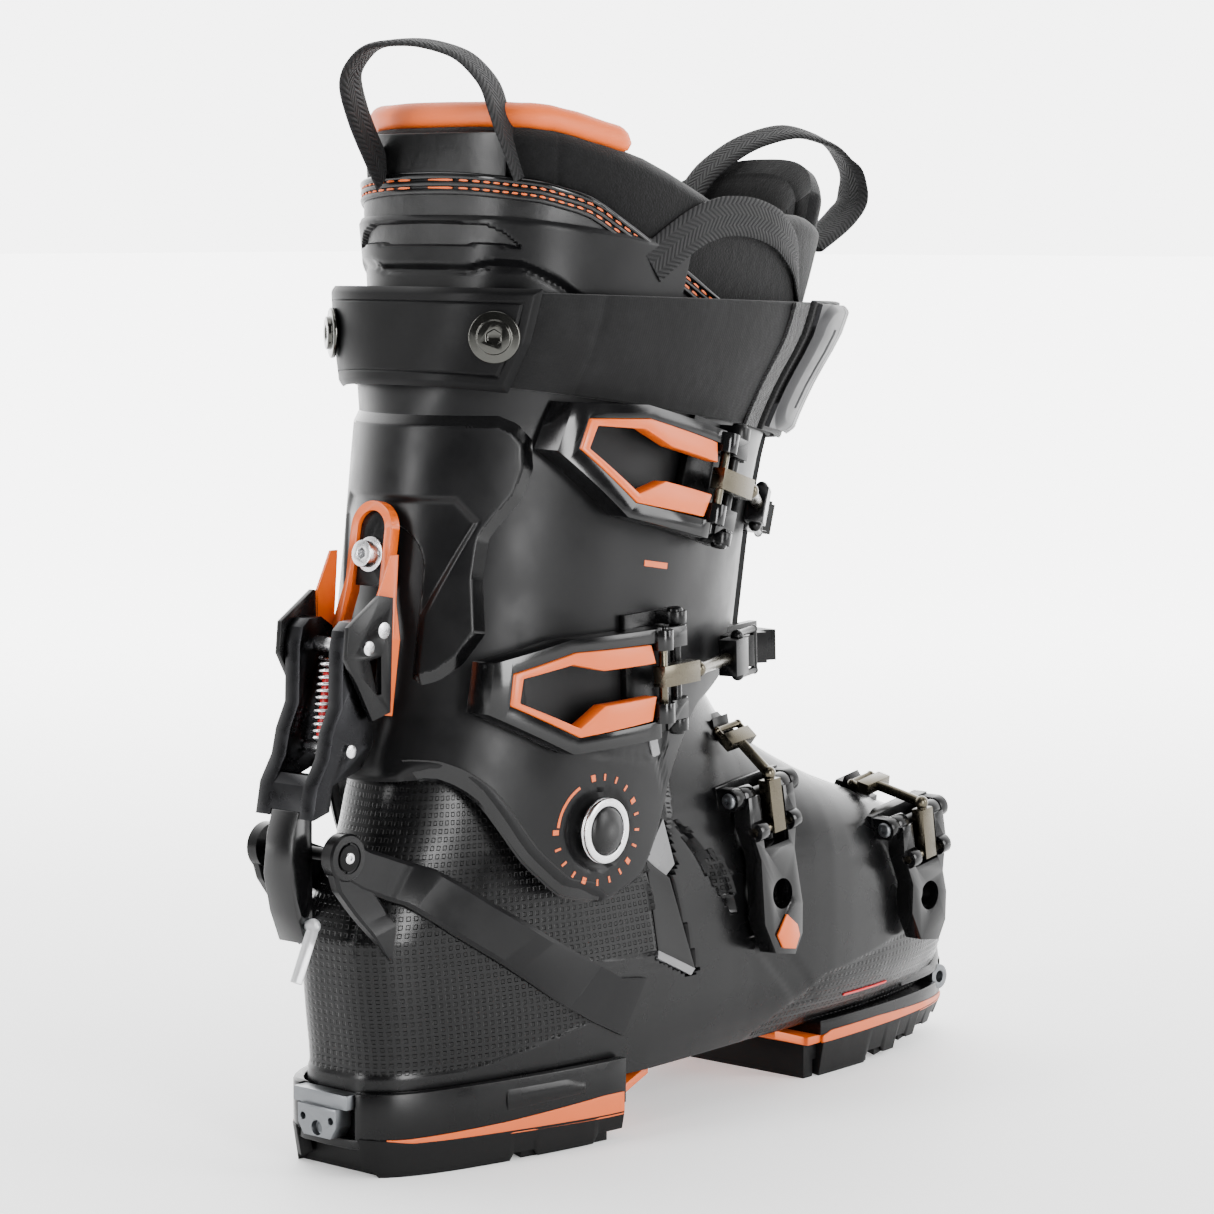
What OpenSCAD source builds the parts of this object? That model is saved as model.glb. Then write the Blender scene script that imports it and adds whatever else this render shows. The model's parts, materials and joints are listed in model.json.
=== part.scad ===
// Touring-style alpine ski boot, right foot.
// X runs toward the toe, +Y is the inner (medial) side, Z is up. Lengths are millimetres.
// Pieces are drawn with x counted from the rear end of the sole, then moved to the part's origin.

/* [Sole] */
// Length of the sole from heel end to toe end
sole_len = 305; // [300:1:310]
// Height of the ledges' top edge above the ground
ledge_z = 27; // [26:0.5:28]
// Thickness of the rubber treads
tread_t = 9; // [8:0.5:9.5]
/* [Shell] */
// Wall thickness of the lower shell
shell_wall = 4.2; // [3.8:0.1:4.4]
// Wall thickness of the cuff
cuff_wall = 3.8; // [3.4:0.1:4]
// Half width of the cuff at the ankle pivots
ankle_half_w = 51.5; // [51:0.5:52.5]
/* [Joints] */
// Distance of the ankle pivots from the heel end
pivot_x = 75; // [74:0.5:76]
// Height of the ankle pivots
pivot_z = 106; // [105:0.5:107]
// Radius of the ankle pivot pins
pivot_r = 6; // [5.5:0.1:6.5]
// Radial running clearance of pins in their bores
fit = 0.06; // [0.03:0.01:0.09]
/* [Power strap] */
// Height of the strap band over the rear plate
strap_rear_h = 28; // [27:1:30]
// Height of the strap band at the front
strap_front_h = 46; // [42:1:48]
/* [Hidden] */
$fn = 48;
origin_x = 40;

charcoal = "#2b2c2e";
black = "#141415";
orange = "#f26a2e";
steel = "#c9cdd0";
bronze = "#5b5548";

// ---- profile helpers ---------------------------------------------------------------------------

// Value at t on a polyline, rounded over a span of 2 d
function eased(t, pts, d) = (lookup(t - d, pts) + 2 * lookup(t, pts) + lookup(t + d, pts)) / 4;
function sgn_pow(v, e) = sign(v) * pow(abs(v), e);

// Skin over a list of closed loops with n points each; flat ends are capped
module skin(loops) {
    n = len(loops[0]);
    m = len(loops);
    points = [for (ring = loops) each ring];
    sides = [for (i = [0:m - 2], j = [0:n - 1]) let (k = (j + 1) % n)
        each [[i * n + j, (i + 1) * n + k, i * n + k], [i * n + j, (i + 1) * n + j, (i + 1) * n + k]]];
    first = [for (j = [0:n - 1]) j];
    last = [for (j = [n - 1:-1:0]) (m - 1) * n + j];
    polyhedron(points, concat(sides, [first, last]));
}

// The same for loops made of an outer row and an inner row, with strip caps at both ends
module wall_skin(loops) {
    n = len(loops[0]);
    m = len(loops);
    points = [for (ring = loops) each ring];
    sides = [for (i = [0:m - 2], j = [0:n - 1]) let (k = (j + 1) % n)
        each [[i * n + j, (i + 1) * n + k, i * n + k], [i * n + j, (i + 1) * n + j, (i + 1) * n + k]]];
    half = n / 2;
    strip = [for (k = [0:half - 2]) each [[k, n - 2 - k, n - 1 - k], [k, k + 1, n - 2 - k]]];
    far = [for (f = strip) [for (v = [f[2], f[1], f[0]]) v + (m - 1) * n]];
    polyhedron(points, concat(sides, strip, far));
}

module at_heel_frame() { translate([-origin_x, 0, 0]) children(); }

// ---- lower shell -------------------------------------------------------------------------------

shell_floor_z = 20;
shell_rear = [[20, 4], [34, 5.5], [55, 3], [74, 1.5], [88, 6], [100, 14], [110, 18], [124, 22], [150, 27]];
shell_front = [[20, 297], [45, 298], [60, 296], [72, 291], [82, 281], [90, 266], [97, 246], [105, 222],
    [116, 199], [130, 177], [145, 166], [165, 156]];
sole_half = [[0, 38], [40, 40], [78, 43], [120, 44], [160, 47], [200, 54], [232, 56], [262, 55],
    [285, 52], [298, 50]];
height_gain = [[20, 0.93], [35, 0.98], [55, 1], [80, 1], [105, 0.99], [125, 0.93], [150, 0.86]];
toe_square = [[20, 0.3], [60, 0.3], [80, 0.4], [100, 0.55], [125, 0.75], [165, 0.8]];
heel_square = [[20, 0.55], [80, 0.6], [100, 0.8], [165, 0.8]];
centre_line = [[0, 0], [120, 0], [220, 3], [300, 5]];
function clamp01(v) = max(0, min(1, v));
// The forefoot's sides curve in toward the sole
function under_cut(x, z) = 1 - 0.2 * clamp01((x - 110) / 90) * pow(clamp01((42 - z) / 22), 2);

// Point on the lower shell at angle a (0 is the toe, 180 the heel), moved inward by inset
function shell_point(a, z, inset) =
    let (b = eased(z, shell_rear, 4) + inset, f = eased(z, shell_front, 4) - inset,
        x = (b + f) / 2 + (f - b) / 2 * cos(a),
        w = eased(x, sole_half, 10) * eased(z, height_gain, 6) * under_cut(x, z) - inset,
        heel = lookup(z, heel_square),
        square = heel + (lookup(z, toe_square) - heel) * max(0, cos(a)))
    [x, w * sgn_pow(sin(a), square) + lookup(x, centre_line), z];
shell_steps = 48;
// The shell's throat is higher over the instep than behind the ankle
function throat_z(a) = 134 + 18 * pow(max(0, cos(a)), 2);
function shell_ring(t, inset, floor_z) = [for (i = [0:shell_steps - 1]) let (a = i * 360 / shell_steps)
    shell_point(a, floor_z + (throat_z(a) - floor_z) * t, inset)];
shell_rows = [0, 0.06, 0.12, 0.2, 0.28, 0.36, 0.43, 0.49, 0.54, 0.58, 0.62, 0.66, 0.7, 0.75, 0.81, 0.87,
    0.94, 1];
module hollow_shell(inset, wall, floor_z, floor_t) {
    skin(concat([for (t = shell_rows) shell_ring(t, inset, floor_z)],
        [for (i = [len(shell_rows) - 1:-1:0]) shell_ring(shell_rows[i], inset + wall, floor_z + floor_t)]));
}
module lower_shell() {
    at_heel_frame() color(charcoal) difference() {
        hollow_shell(0, shell_wall, shell_floor_z, 4);
        translate([pivot_x, 0, pivot_z]) rotate([90, 0, 0]) cylinder(r = pivot_r, h = 120, center = true);
        toe_insert_notches();
    }
}

// ---- sole ---------------------------------------------------------------------------------------

// Solid inside the shell's wall, which trims what is let into that wall
module shell_core() {
    skin([for (t = shell_rows) shell_ring(t, shell_wall - 0.8, shell_floor_z)]);
}

// Plan outline of the shell at height z, grown by grow
module sole_outline(z, grow) {
    polygon([for (i = [0:71]) let (p = shell_point(i * 5, z, -grow)) [p[0], p[1]]]);
}
module between_x(x0, x1) { intersection() { children(); translate([x0, -80]) square([x1 - x0, 160]); } }
module sole_slab(x0, x1, z0, z1, grow) {
    translate([0, 0, z0]) linear_extrude(z1 - z0) between_x(x0, x1) sole_outline(24, grow);
}
// Rounded toe of the sole: half width 42 at the ball, drawn in from the toe end by inset
toe_mid_x = 200;
module toe_slab(x0, x1, z0, z1, inset) {
    function point(a) = [toe_mid_x + (sole_len - toe_mid_x - inset) * sgn_pow(cos(a), 0.8),
        3 + (42 - inset) * sgn_pow(sin(a), 0.5)];
    translate([0, 0, z0]) linear_extrude(z1 - z0) between_x(x0, x1)
        polygon([for (i = [0:71]) point(i * 5)]);
}
heel_pad_x = [8, 90];
toe_pad_x = [200, sole_len];
heel_grow = 4.4;
carrier_t = 3;
toe_tread_t = tread_t + 3;
module heel_block() {
    at_heel_frame() color(black) difference() {
        sole_slab(-5, 96, tread_t + carrier_t, ledge_z, heel_grow);
        sole_slab(-6, 97, shell_floor_z, ledge_z + 1, 1.1);
        translate([-2, -12.4, 11]) cube([6, 24.8, 30]);
    }
}
// Arched strip that runs from the heel pad up to the waist of the sole
module waist_strip(x0, z0, x1, z1, half_w) {
    rotate([90, 0, 0]) linear_extrude(2 * half_w, center = true)
        polygon([[x0, z0], [x0, z0 + carrier_t], [x1, z1], [x1, z1 - carrier_t]]);
}
module heel_sole_carrier() {
    at_heel_frame() color(orange) difference() {
        union() {
            sole_slab(-5, 96, tread_t, tread_t + carrier_t, heel_grow - 0.6);
            waist_strip(96, tread_t, 116, shell_floor_z, 36);
        }
        sole_screw_holes(2.1);
    }
}
module tread_grooves(xs, depth, wide) {
    for (x = xs) for (side = [-1, 1])
        translate([x, side * 26, -1]) rotate([0, 0, side * 24]) translate([-wide / 2, -17, 0])
            cube([wide, 34, depth + 1]);
}
module heel_tread() {
    at_heel_frame() color(black) difference() {
        sole_slab(heel_pad_x[0], heel_pad_x[1], 0, tread_t, 1.6);
        tread_grooves([24, 40, 56, 72], 4.5, 4);
        for (x = [14, 48]) translate([x, -4, -1]) cube([18, 8, 4]);
        sole_screw_holes(5);
    }
}
module toe_block() {
    at_heel_frame() color(black) difference() {
        toe_slab(206, sole_len + 2, toe_tread_t + carrier_t, ledge_z, 0);
        translate([0, 0, shell_floor_z]) linear_extrude(ledge_z) sole_outline(ledge_z + 5, 1.1);
        toe_insert_seats();
    }
}
module toe_sole_carrier() {
    at_heel_frame() color(orange) difference() {
        union() {
            toe_slab(toe_pad_x[0], toe_pad_x[1], toe_tread_t, toe_tread_t + carrier_t, 1);
            translate([0, 3, 0]) waist_strip(toe_pad_x[0], toe_tread_t, 184, shell_floor_z, 39);
        }
        sole_screw_holes(2.1);
    }
}
module toe_tread() {
    at_heel_frame() color(black) difference() {
        toe_slab(toe_pad_x[0], toe_pad_x[1], 0, toe_tread_t, 3);
        tread_grooves([212, 228, 244, 260, 276], 6, 4.5);
        translate([204, -4, -1]) cube([82, 8, 5]);
        // Rocker: the sole lifts toward the toe
        translate([238, -80, -20]) rotate([0, -8, 0]) cube([80, 160, 20]);
        sole_screw_holes(5);
    }
}
// Small lugs under the waist of the sole
module arch_pad() {
    at_heel_frame() color(black) for (i = [0:4])
        translate([124 + i * 9, -30, shell_floor_z - 3]) cube([6, 60, 3]);
}
screw_spots = [[30, 18], [30, -18], [76, 18], [76, -18], [216, 24], [216, -24], [270, 24], [270, -24]];
module sole_screw_holes(r) {
    for (p = screw_spots) translate([p[0], p[1], -1]) cylinder(r = r, h = 30);
}
module sole_screws() {
    at_heel_frame() color(steel) for (p = screw_spots) {
        seat = p[0] < 100 ? tread_t : toe_tread_t;
        translate([p[0], p[1], seat - 3]) difference() {
            union() {
                cylinder(r = 4, h = 3);
                cylinder(r = 2.05, h = 3 + carrier_t);
            }
            translate([0, 0, -1]) cylinder(r = 1.6, h = 2.6, $fn = 6);
        }
    }
}
// Heel insert: a T-shaped steel plate with a chamfered block and a socket for the binding pins
module heel_tech_insert() {
    at_heel_frame() color(steel) difference() {
        union() {
            translate([-1.6, -12, 22]) cube([5.4, 24, 4.6]);
            translate([-3.2, 0, 15]) rotate([90, 0, 90]) linear_extrude(7)
                polygon([[-8.5, 7], [8.5, 7], [8.5, 1], [6, -2.8], [-6, -2.8], [-8.5, 1]]);
        }
        translate([-6, 0, 15]) rotate([0, 90, 0]) cylinder(r = 2.4, h = 5);
        for (side = [-1, 1]) translate([-6, side * 6.2, 18]) rotate([0, 90, 0]) cylinder(r = 1.2, h = 5);
    }
}
tech_x = 292;
tech_y = 30;
tech_mid = 3;
tech_z = 21;
tech_out_r = 4.6;
tech_r = 2.2;
tech_depth = 4;
tech_grip = 7.9;
// Seats for the toe inserts in the toe block
module toe_insert_seats() {
    for (side = [-1, 1]) translate([tech_x, tech_mid + side * (tech_y - 8), tech_z])
        rotate([side * -90, 0, 0]) cylinder(r = tech_out_r, h = 30);
}
// Square notches in the shell's lower edge, in which the inserts' inner ends lie
module toe_insert_notches() {
    translate([0, tech_mid, 0]) both_sides()
        translate([tech_x - tech_out_r, tech_y - tech_grip, shell_floor_z - 1])
            cube([2 * tech_out_r, 30, tech_z + tech_out_r - shell_floor_z + 1]);
}
module toe_tech_inserts() {
    at_heel_frame() color(steel) for (side = [-1, 1]) translate([tech_x, tech_mid + side * tech_y, tech_z])
        rotate([side * -90, 0, 0]) difference() {
            translate([0, 0, -tech_grip]) cylinder(r = tech_out_r - 0.02, h = tech_grip + 1.1);
            translate([0, 0, 1.1 - tech_depth]) cylinder(r = tech_r, h = tech_depth + 1);
        }
}

// ---- inner boot, foot part ----------------------------------------------------------------------

board_z = 24.4;
liner_inset = shell_wall + 0.6;
module inner_slab(inset, z0, z1, z_shape) {
    translate([0, 0, z0]) linear_extrude(z1 - z0) sole_outline(z_shape, -inset);
}
module boot_board() { at_heel_frame() color("#3c3d40") inner_slab(liner_inset + 2, board_z, 30, board_z); }
module liner_foot() { at_heel_frame() color("#1b1b1c") hollow_shell(liner_inset, 5.5, 30.4, 5); }
module insole() { at_heel_frame() color("#55585c") inner_slab(liner_inset + 7, 35.8, 39, 38); }

// ---- cuff ---------------------------------------------------------------------------------------

cuff_rear = [[85, 12], [122, 13], [145, 21], [197, 29], [226, 33], [242, 36], [262, 40], [285, 43],
    [302, 44], [336, 46]];
cuff_front = [[85, 171], [130, 171], [150, 174], [197, 182], [226, 190], [245, 201], [262, 214],
    [302, 228], [336, 238]];
cuff_half = [[85, ankle_half_w], [105, ankle_half_w], [140, 51], [197, 51.5], [226, 53], [245, 55.5],
    [262, 59], [302, 63], [336, 63]];
cuff_heel_square = [[85, 0.9], [130, 1], [235, 1], [262, 0.68], [302, 0.5], [336, 0.5]];
function cuff_square(a, z) = let (s = lookup(z, cuff_heel_square))
    cos(a) > 0 ? s + (0.72 - s) * cos(a) : s;
function cuff_point(a, z, inset) =
    let (b = eased(z, cuff_rear, 6) + inset, f = eased(z, cuff_front, 6) - inset,
        w = eased(z, cuff_half, 6) - inset)
    [(b + f) / 2 + (f - b) / 2 * cos(a), w * sgn_pow(sin(a), cuff_square(a, z)), z];
// Lower edge of the cuff by distance from the heel end: a lobe hangs down round the pivot
cuff_edge = [[13, 124], [25, 126], [34, 119], [47, 98], [60, 86], [78, 82], [95, 88], [104, 102],
    [110, 118], [124, 140], [150, 150], [174, 153]];
function cuff_low_z(a) = eased(cuff_point(a, 110, 0)[0], cuff_edge, 3);
function cuff_top_z(a) = 268 - 10 * pow(max(0, cos(a)), 2);
// The inner flap ends under the outer flap across the front
flap_from = 20;
flap_sweep = 400;
cuff_steps = 60;
function flap_lift(a) = (cuff_wall + 0.5) * min(1, max(0, (-290 - a) / 30));
cuff_rows = [0, 0.06, 0.13, 0.2, 0.28, 0.36, 0.46, 0.56, 0.66, 0.76, 0.84, 0.92, 1];
// Section of a wall at angle a: outer row going up, then inner row coming down
function wall_section(a, low, top, rows, outer, inner) = concat(
    [for (t = rows) cuff_point(a, low + (top - low) * t, outer)],
    [for (i = [len(rows) - 1:-1:0]) cuff_point(a, low + (top - low) * rows[i], inner)]);
module cuff_shell() {
    at_heel_frame() color(charcoal) difference() {
        wall_skin([for (i = [0:cuff_steps])
            let (a = flap_from - i * flap_sweep / cuff_steps, lift = flap_lift(a))
            wall_section(a, cuff_low_z(a), cuff_top_z(a), cuff_rows, -lift, cuff_wall - lift)]);
        translate([pivot_x, 0, pivot_z]) rotate([90, 0, 0])
            cylinder(r = pivot_r + fit, h = 120, center = true);
    }
}
// Solid inside the cuff's wall, which trims what is let into that wall
module cuff_core() {
    skin([for (z = [130:12:250]) [for (a = [0:7.5:352.5]) cuff_point(a, z, cuff_wall - 0.8)]]);
}
backbone_span = [[152, 14], [160, 34], [170, 41], [188, 38], [205, 42], [222, 48], [232, 46],
    [241, 36]];
even_rows = [0, 0.2, 0.4, 0.6, 0.8, 1];
backbone_levels = [for (i = [0:11]) 152 + i * 89 / 11];
backbone_proud = 2;
backbone_gap = 0.8;
module backbone() {
    across = 12;
    function row(z, inset) = let (span = lookup(z, backbone_span))
        [for (i = [0:across]) cuff_point(180 - span + 2 * span * i / across, z, inset)];
    at_heel_frame() color("#303134") wall_skin([for (z = backbone_levels)
        concat(row(z, -backbone_proud), [for (i = [across:-1:0]) row(z, -backbone_gap)[i]])]);
}
module spoiler() {
    at_heel_frame() color("#202122") wall_skin([for (i = [0:24]) let (a = 256 - i * 152 / 24)
        wall_section(a, 250, 302 - 27 * pow(cos(a / 2), 2), even_rows, cuff_wall + 0.3, cuff_wall + 2.6)]);
}

// ---- power strap --------------------------------------------------------------------------------

strap_t = 2;
strap_gap = 0.8;
flap_room = cuff_wall + 0.5;
function strap_mid_z(a) = 256 - 8 * cos(a);
function strap_h(a) = strap_rear_h + (strap_front_h - strap_rear_h) * (1 + cos(a)) / 2;
// The strap climbs over the cuff's outer flap between the front and the inner side
function strap_lift(a) = flap_room * (a <= 50 ? 1 : a < 80 ? (80 - a) / 30 : 0);
module band(a0, a1, steps, outer, inner, extra) {
    wall_skin([for (i = [0:steps]) let (a = a0 + (a1 - a0) * i / steps, lift = strap_lift(a),
        mid = strap_mid_z(a), half = strap_h(a) / 2 + extra)
        wall_section(a, mid - half, mid + half, even_rows, -outer - lift, -inner - lift)]);
}
strap_out = strap_gap + strap_t;
// Rubber badge plate over the rear of the strap, its half span in degrees
plate_span = 34;
plate_t = 3;
rivet_span = 24;
module power_strap() { at_heel_frame() color("#161617") band(327, -30, 60, strap_out, strap_gap, 0); }
module strap_plate() {
    at_heel_frame() color(black)
        band(180 + plate_span, 180 - plate_span, 20, strap_out + plate_t, strap_out + 0.05, 1.5);
}
module strap_velcro() {
    at_heel_frame() color("#26272a") band(300, 292, 3, strap_out + 1.6, strap_out + 0.05, 0);
}
module strap_end_tab() {
    at_heel_frame() color("#333438") band(327.5, 300.5, 8, strap_out + 8, strap_out + 0.05, 1);
}

// Puts children on the cuff at angle a and height z, local +X pointing away from the cuff
function cuff_yaw(a, z) = let (t = cuff_point(a + 1, z, 0) - cuff_point(a - 1, z, 0)) atan2(-t[0], t[1]);
module on_cuff(a, z, out) { translate(cuff_point(a, z, -out)) rotate([0, 0, cuff_yaw(a, z)]) children(); }
module strap_rivets() {
    at_heel_frame() color("#6a6f75") for (side = [-1, 1])
        on_cuff(180 + side * rivet_span, strap_mid_z(180), strap_out + plate_t + 0.1) rotate([0, 90, 0])
            difference() {
                union() { cylinder(r = 8.2, h = 1.4); cylinder(r = 5.4, h = 2.8); }
                translate([0, 0, 1.2]) cylinder(r = 2.6, h = 3, $fn = 6);
            }
}

// ---- inner boot, leg part -----------------------------------------------------------------------

liner_out = 6.8;
liner_in = 13.5;
collar_rim = [[0, 332], [30, 331], [60, 322], [90, 304], [120, 304], [140, 300]];
function collar_z(a) = eased(abs(180 - a), collar_rim, 8);
liner_low_z = 162;
liner_rows = [0, 0.15, 0.3, 0.45, 0.6, 0.75, 0.88, 1];
module liner_cuff() {
    at_heel_frame() color("#1c1c1d") wall_skin([for (i = [0:40]) let (a = 320 - i * 7)
        wall_section(a, liner_low_z, collar_z(a), liner_rows, liner_out, liner_in)]);
}
tongue_half = 34;
module tongue() {
    at_heel_frame() color("#202021") wall_skin([for (i = [0:14])
        let (a = tongue_half * (1 - i / 7), top = 322 - 12 * pow(a / tongue_half, 2))
        wall_section(a, 176, top, liner_rows, liner_out + 1, liner_in + 5)]);
}
module collar_roll() {
    function centre(a) = cuff_point(a, collar_z(a) + 3.9, (liner_out + liner_in) / 2);
    at_heel_frame() color(orange) skin([for (i = [0:24]) let (a = 235 - i * 110 / 24, c = centre(a),
        yaw = cuff_yaw(a, 320))
        [for (k = [0:9]) c + 3.8 * [cos(yaw) * cos(k * 36), sin(yaw) * cos(k * 36), sin(k * 36)]]]);
}
// Flat webbing along a path: wide across, thin along the other direction
module webbing(path, across, wide, thick) {
    last = len(path) - 1;
    skin([for (i = [0:last]) let (
        t = path[min(last, i + 1)] - path[max(0, i - 1)],
        along = t / norm(t),
        side = across - (across * along) * along,
        u = side / norm(side) * wide / 2,
        v = cross(along, u) / norm(u) * thick / 2)
        [path[i] + u + v, path[i] - u + v, path[i] - u - v, path[i] + u - v]]);
}
loop_wide = 14;
module rear_pull_loop() {
    path = [for (i = [0:20]) let (a = 180 - i * 9)
        [54 - 5 * sin(a), 3 + 29 * cos(a), 316 + 40 * pow(sin(a), 0.8)]];
    at_heel_frame() color("#1a1a1b") webbing(path, [1, 0, 0], loop_wide, 2.2);
}
module front_pull_loops() {
    low = [for (i = [0:14]) let (t = i / 14)
        [112 + 100 * t, -52 + 36 * t * t, 297 + 34 * t * (1 - t) - 8 * t]];
    top = [for (i = [0:16]) let (a = 175 - i * 12)
        [212 + 27 * cos(a) + 6 * sin(a), -8, 308 + 24 * sin(a)]];
    at_heel_frame() color("#1a1a1b") {
        webbing(low, [0, 0, 1], loop_wide - 3, 2.2);
        webbing(top, [0, 1, 0], loop_wide, 2.2);
    }
}

// ---- ankle pivots -------------------------------------------------------------------------------

cuff_side_y = 51.4;
module at_pivot(side) { translate([pivot_x, 0, pivot_z]) rotate([side * -90, 0, 0]) children(); }
module pivot_pins() {
    at_heel_frame() color(black) for (side = [-1, 1]) at_pivot(side) {
        translate([0, 0, 38]) cylinder(r = pivot_r, h = cuff_side_y + 1.2 - 38);
        translate([0, 0, cuff_side_y + 0.2]) cylinder(r = 10.6, h = 1);
    }
}
module pivot_rings() {
    at_heel_frame() color(steel) for (side = [-1, 1]) at_pivot(side) translate([0, 0, cuff_side_y + 1.2])
        rotate_extrude() translate([7.9, 0]) square([2.6, 1.4]);
}
module pivot_caps() {
    at_heel_frame() color(black) for (side = [-1, 1]) at_pivot(side) translate([0, 0, cuff_side_y + 1.2])
        rotate_extrude() polygon([[0, 0], [7.8, 0], [7.8, 1.1], [6.4, 2], [3.6, 2.6], [0, 2.8]]);
}

// ---- walk mode mechanism at the heel ------------------------------------------------------------

// Plate with an outline in X and Z, from y0 to y1
module plate_xz(outline, y0, y1) {
    translate([0, y1, 0]) rotate([90, 0, 0]) linear_extrude(y1 - y0) polygon(outline);
}
module both_sides() { for (side = [0, 1]) mirror([0, side, 0]) children(); }
module pin_y(x, z, r, half_len) {
    translate([x, 0, z]) rotate([90, 0, 0]) cylinder(r = r, h = 2 * half_len, center = true);
}
lever_pin_x = 5.5;
lever_pin_z = 168;
lever_pin_r = 2.4;
low_pin_x = 0;
low_pin_z = 136;
lock_x = -7;
lock_z = 104;
lock_r = 2;
bracket_lean = 8.7;
bracket_x = 20.5;
bracket_z = 145;
module at_bracket() { translate([bracket_x, 0, bracket_z]) rotate([0, bracket_lean, 0]) children(); }
module walk_bracket() {
    at_heel_frame() color(orange) {
        at_bracket() translate([-6.4, 0, 0]) rotate([90, 0, 90]) linear_extrude(3.6) difference() {
            union() {
                translate([0, 58]) circle(r = 9);
                polygon([[-14, 0], [14, 0], [14, 24], [9, 42], [9, 58], [-9, 58], [-9, 42], [-14, 24]]);
            }
            translate([0, 58]) circle(r = 6);
            polygon([[-10, 5], [10, 5], [10, 22], [6, 38], [6, 58], [-6, 58], [-6, 38], [-10, 22]]);
        }
        both_sides() plate_xz([[12, 151], [16, 149], [19, 170], [21, 196], [18, 196], [12, 184]], 13.1, 14);
    }
}
module walk_side_plates() {
    at_heel_frame() color(black) {
        both_sides() difference() {
            plate_xz([[16.5, 183], [11, 184], [-3, 175], [-4, 165], [7, 145], [15, 147]], 14.05, 16);
            pin_y(lever_pin_x, lever_pin_z, lever_pin_r + fit, 20);
            pin_y(12.4, 173, 1.5, 20);
            plate_xz([[6, 164], [11, 165], [11, 153], [9, 153]], 13, 17);
        }
        at_bracket() translate([-5, 0, 0]) rotate([90, 0, 90]) linear_extrude(2.2) difference() {
            union() {
                translate([0, 58]) circle(r = 5.8);
                translate([-5.8, 40]) square([11.6, 18]);
            }
            translate([0, 50]) circle(r = 2.6);
        }
    }
}
module bracket_bolt() {
    at_heel_frame() color("#4a4c50") {
        at_bracket() translate([-5.1, 0, 50]) rotate([0, -90, 0]) difference() {
            union() { cylinder(r = 5.6, h = 1); cylinder(r = 4.2, h = 4.6); }
            translate([0, 0, 2]) cylinder(r = 1.9, h = 4, $fn = 6);
        }
        both_sides() translate([12.4, 16.2, 173]) rotate([90, 0, 0]) {
            cylinder(r = 1.45, h = 2.1);
            cylinder(r = 2.6, h = 0.15);
        }
    }
}
arm_outline = [[2, 176], [7, 176.3], [12, 173], [13, 168], [11.5, 158], [10, 148], [10, 137], [5, 130],
    [-7.6, 126], [-9, 118], [-16, 116], [-14, 126], [-9, 134], [-7, 142], [-3, 150], [-2.4, 168],
    [-1, 173.5]];
web_outline = [[-7.6, 126], [-9, 118.1], [-15.5, 118.1], [-14, 126], [-11.5, 129], [-8, 129]];
claw_outline = [[-9.7, 118], [-9.9, 108], [-9.9, 98], [-9.7, 88], [-9.7, 82], [-10.6, 77], [-13, 76],
    [-17, 86], [-19.5, 98], [-18, 110], [-15.6, 118]];
module lever_arms() {
    at_heel_frame() color("#1d1d1f") difference() {
        union() {
            both_sides() plate_xz(arm_outline, 6.5, 12.9);
            plate_xz(web_outline, -6.6, 6.6);
        }
        pin_y(lever_pin_x, lever_pin_z, lever_pin_r, 20);
        pin_y(low_pin_x, low_pin_z, 2.2, 20);
    }
}
module lever_claw() {
    at_heel_frame() color("#1d1d1f") difference() {
        plate_xz(claw_outline, -6, 6);
        // Cord eye near the tip
        pin_y(-12, 82, 1.6, 20);
    }
}
module lever_pins() {
    at_heel_frame() color(steel) {
        pin_y(lever_pin_x, lever_pin_z, lever_pin_r, 16.6);
        pin_y(low_pin_x, low_pin_z, 2.2, 13.9);
    }
}
coil_r = 3;
coil_wire_r = 0.6;
coil_turns = 13;
module lever_spring() {
    span = norm([lever_pin_x - low_pin_x, lever_pin_z - low_pin_z]) - lever_pin_r - 2.2 - 0.2;
    lean = atan2(lever_pin_x - low_pin_x, lever_pin_z - low_pin_z);
    at_heel_frame() color(steel)
        translate([low_pin_x, 0, low_pin_z]) rotate([0, lean, 0]) translate([0, 0, 2.3]) {
        cylinder(r = 2.5, h = span - 0.1);
        for (i = [0:coil_turns - 1]) translate([0, 0, coil_wire_r + i * (span - 1.4) / (coil_turns - 1)])
            rotate_extrude() translate([coil_r, 0]) circle(r = coil_wire_r, $fn = 16);
    }
}
module pull_tab() {
    at_heel_frame() color("#8d8f92") {
        translate([-12, 0, 82]) rotate([90, 0, 0]) cylinder(r = 1.55, h = 14, center = true);
        translate([-12.3, -8.2, 80.6]) rotate([0, 205, 0]) cylinder(r = 1.9, h = 17);
        translate([-12, -8.2, 82]) sphere(r = 2.4);
    }
}

// Steel yoke on the heel that carries the lock bar: a boss, a long arm and a short arm each side
yoke_long = [[-4, -16.6, 103], [8, -19.5, 101], [20, -23.4, 93], [34, -31, 86], [50, -36.3, 77],
    [68, -40.1, 69], [86, -42.7, 60]];
yoke_short = [[-6, -16.6, 100], [-3, -17.2, 88], [3, -17.6, 76], [7, -19.4, 64]];
module heel_brace() {
    at_heel_frame() color("#4b4c4f") both_sides() difference() {
        union() {
            webbing(yoke_long, [0, 0, 1], 10, 3);
            webbing(yoke_short, [1, 0, -0.2], 8, 3);
            translate([lock_x, -14.6, lock_z]) rotate([90, 0, 0]) cylinder(r = 7.5, h = 4.2);
        }
        pin_y(lock_x, lock_z, lock_r, 30);
    }
}
module lock_bar() {
    at_heel_frame() color(steel) {
        pin_y(lock_x, lock_z, lock_r - 0.02, 19.2);
        both_sides() translate([lock_x, -18.9, lock_z]) rotate([90, 0, 0]) cylinder(r = 4.2, h = 0.8);
    }
}

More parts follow.
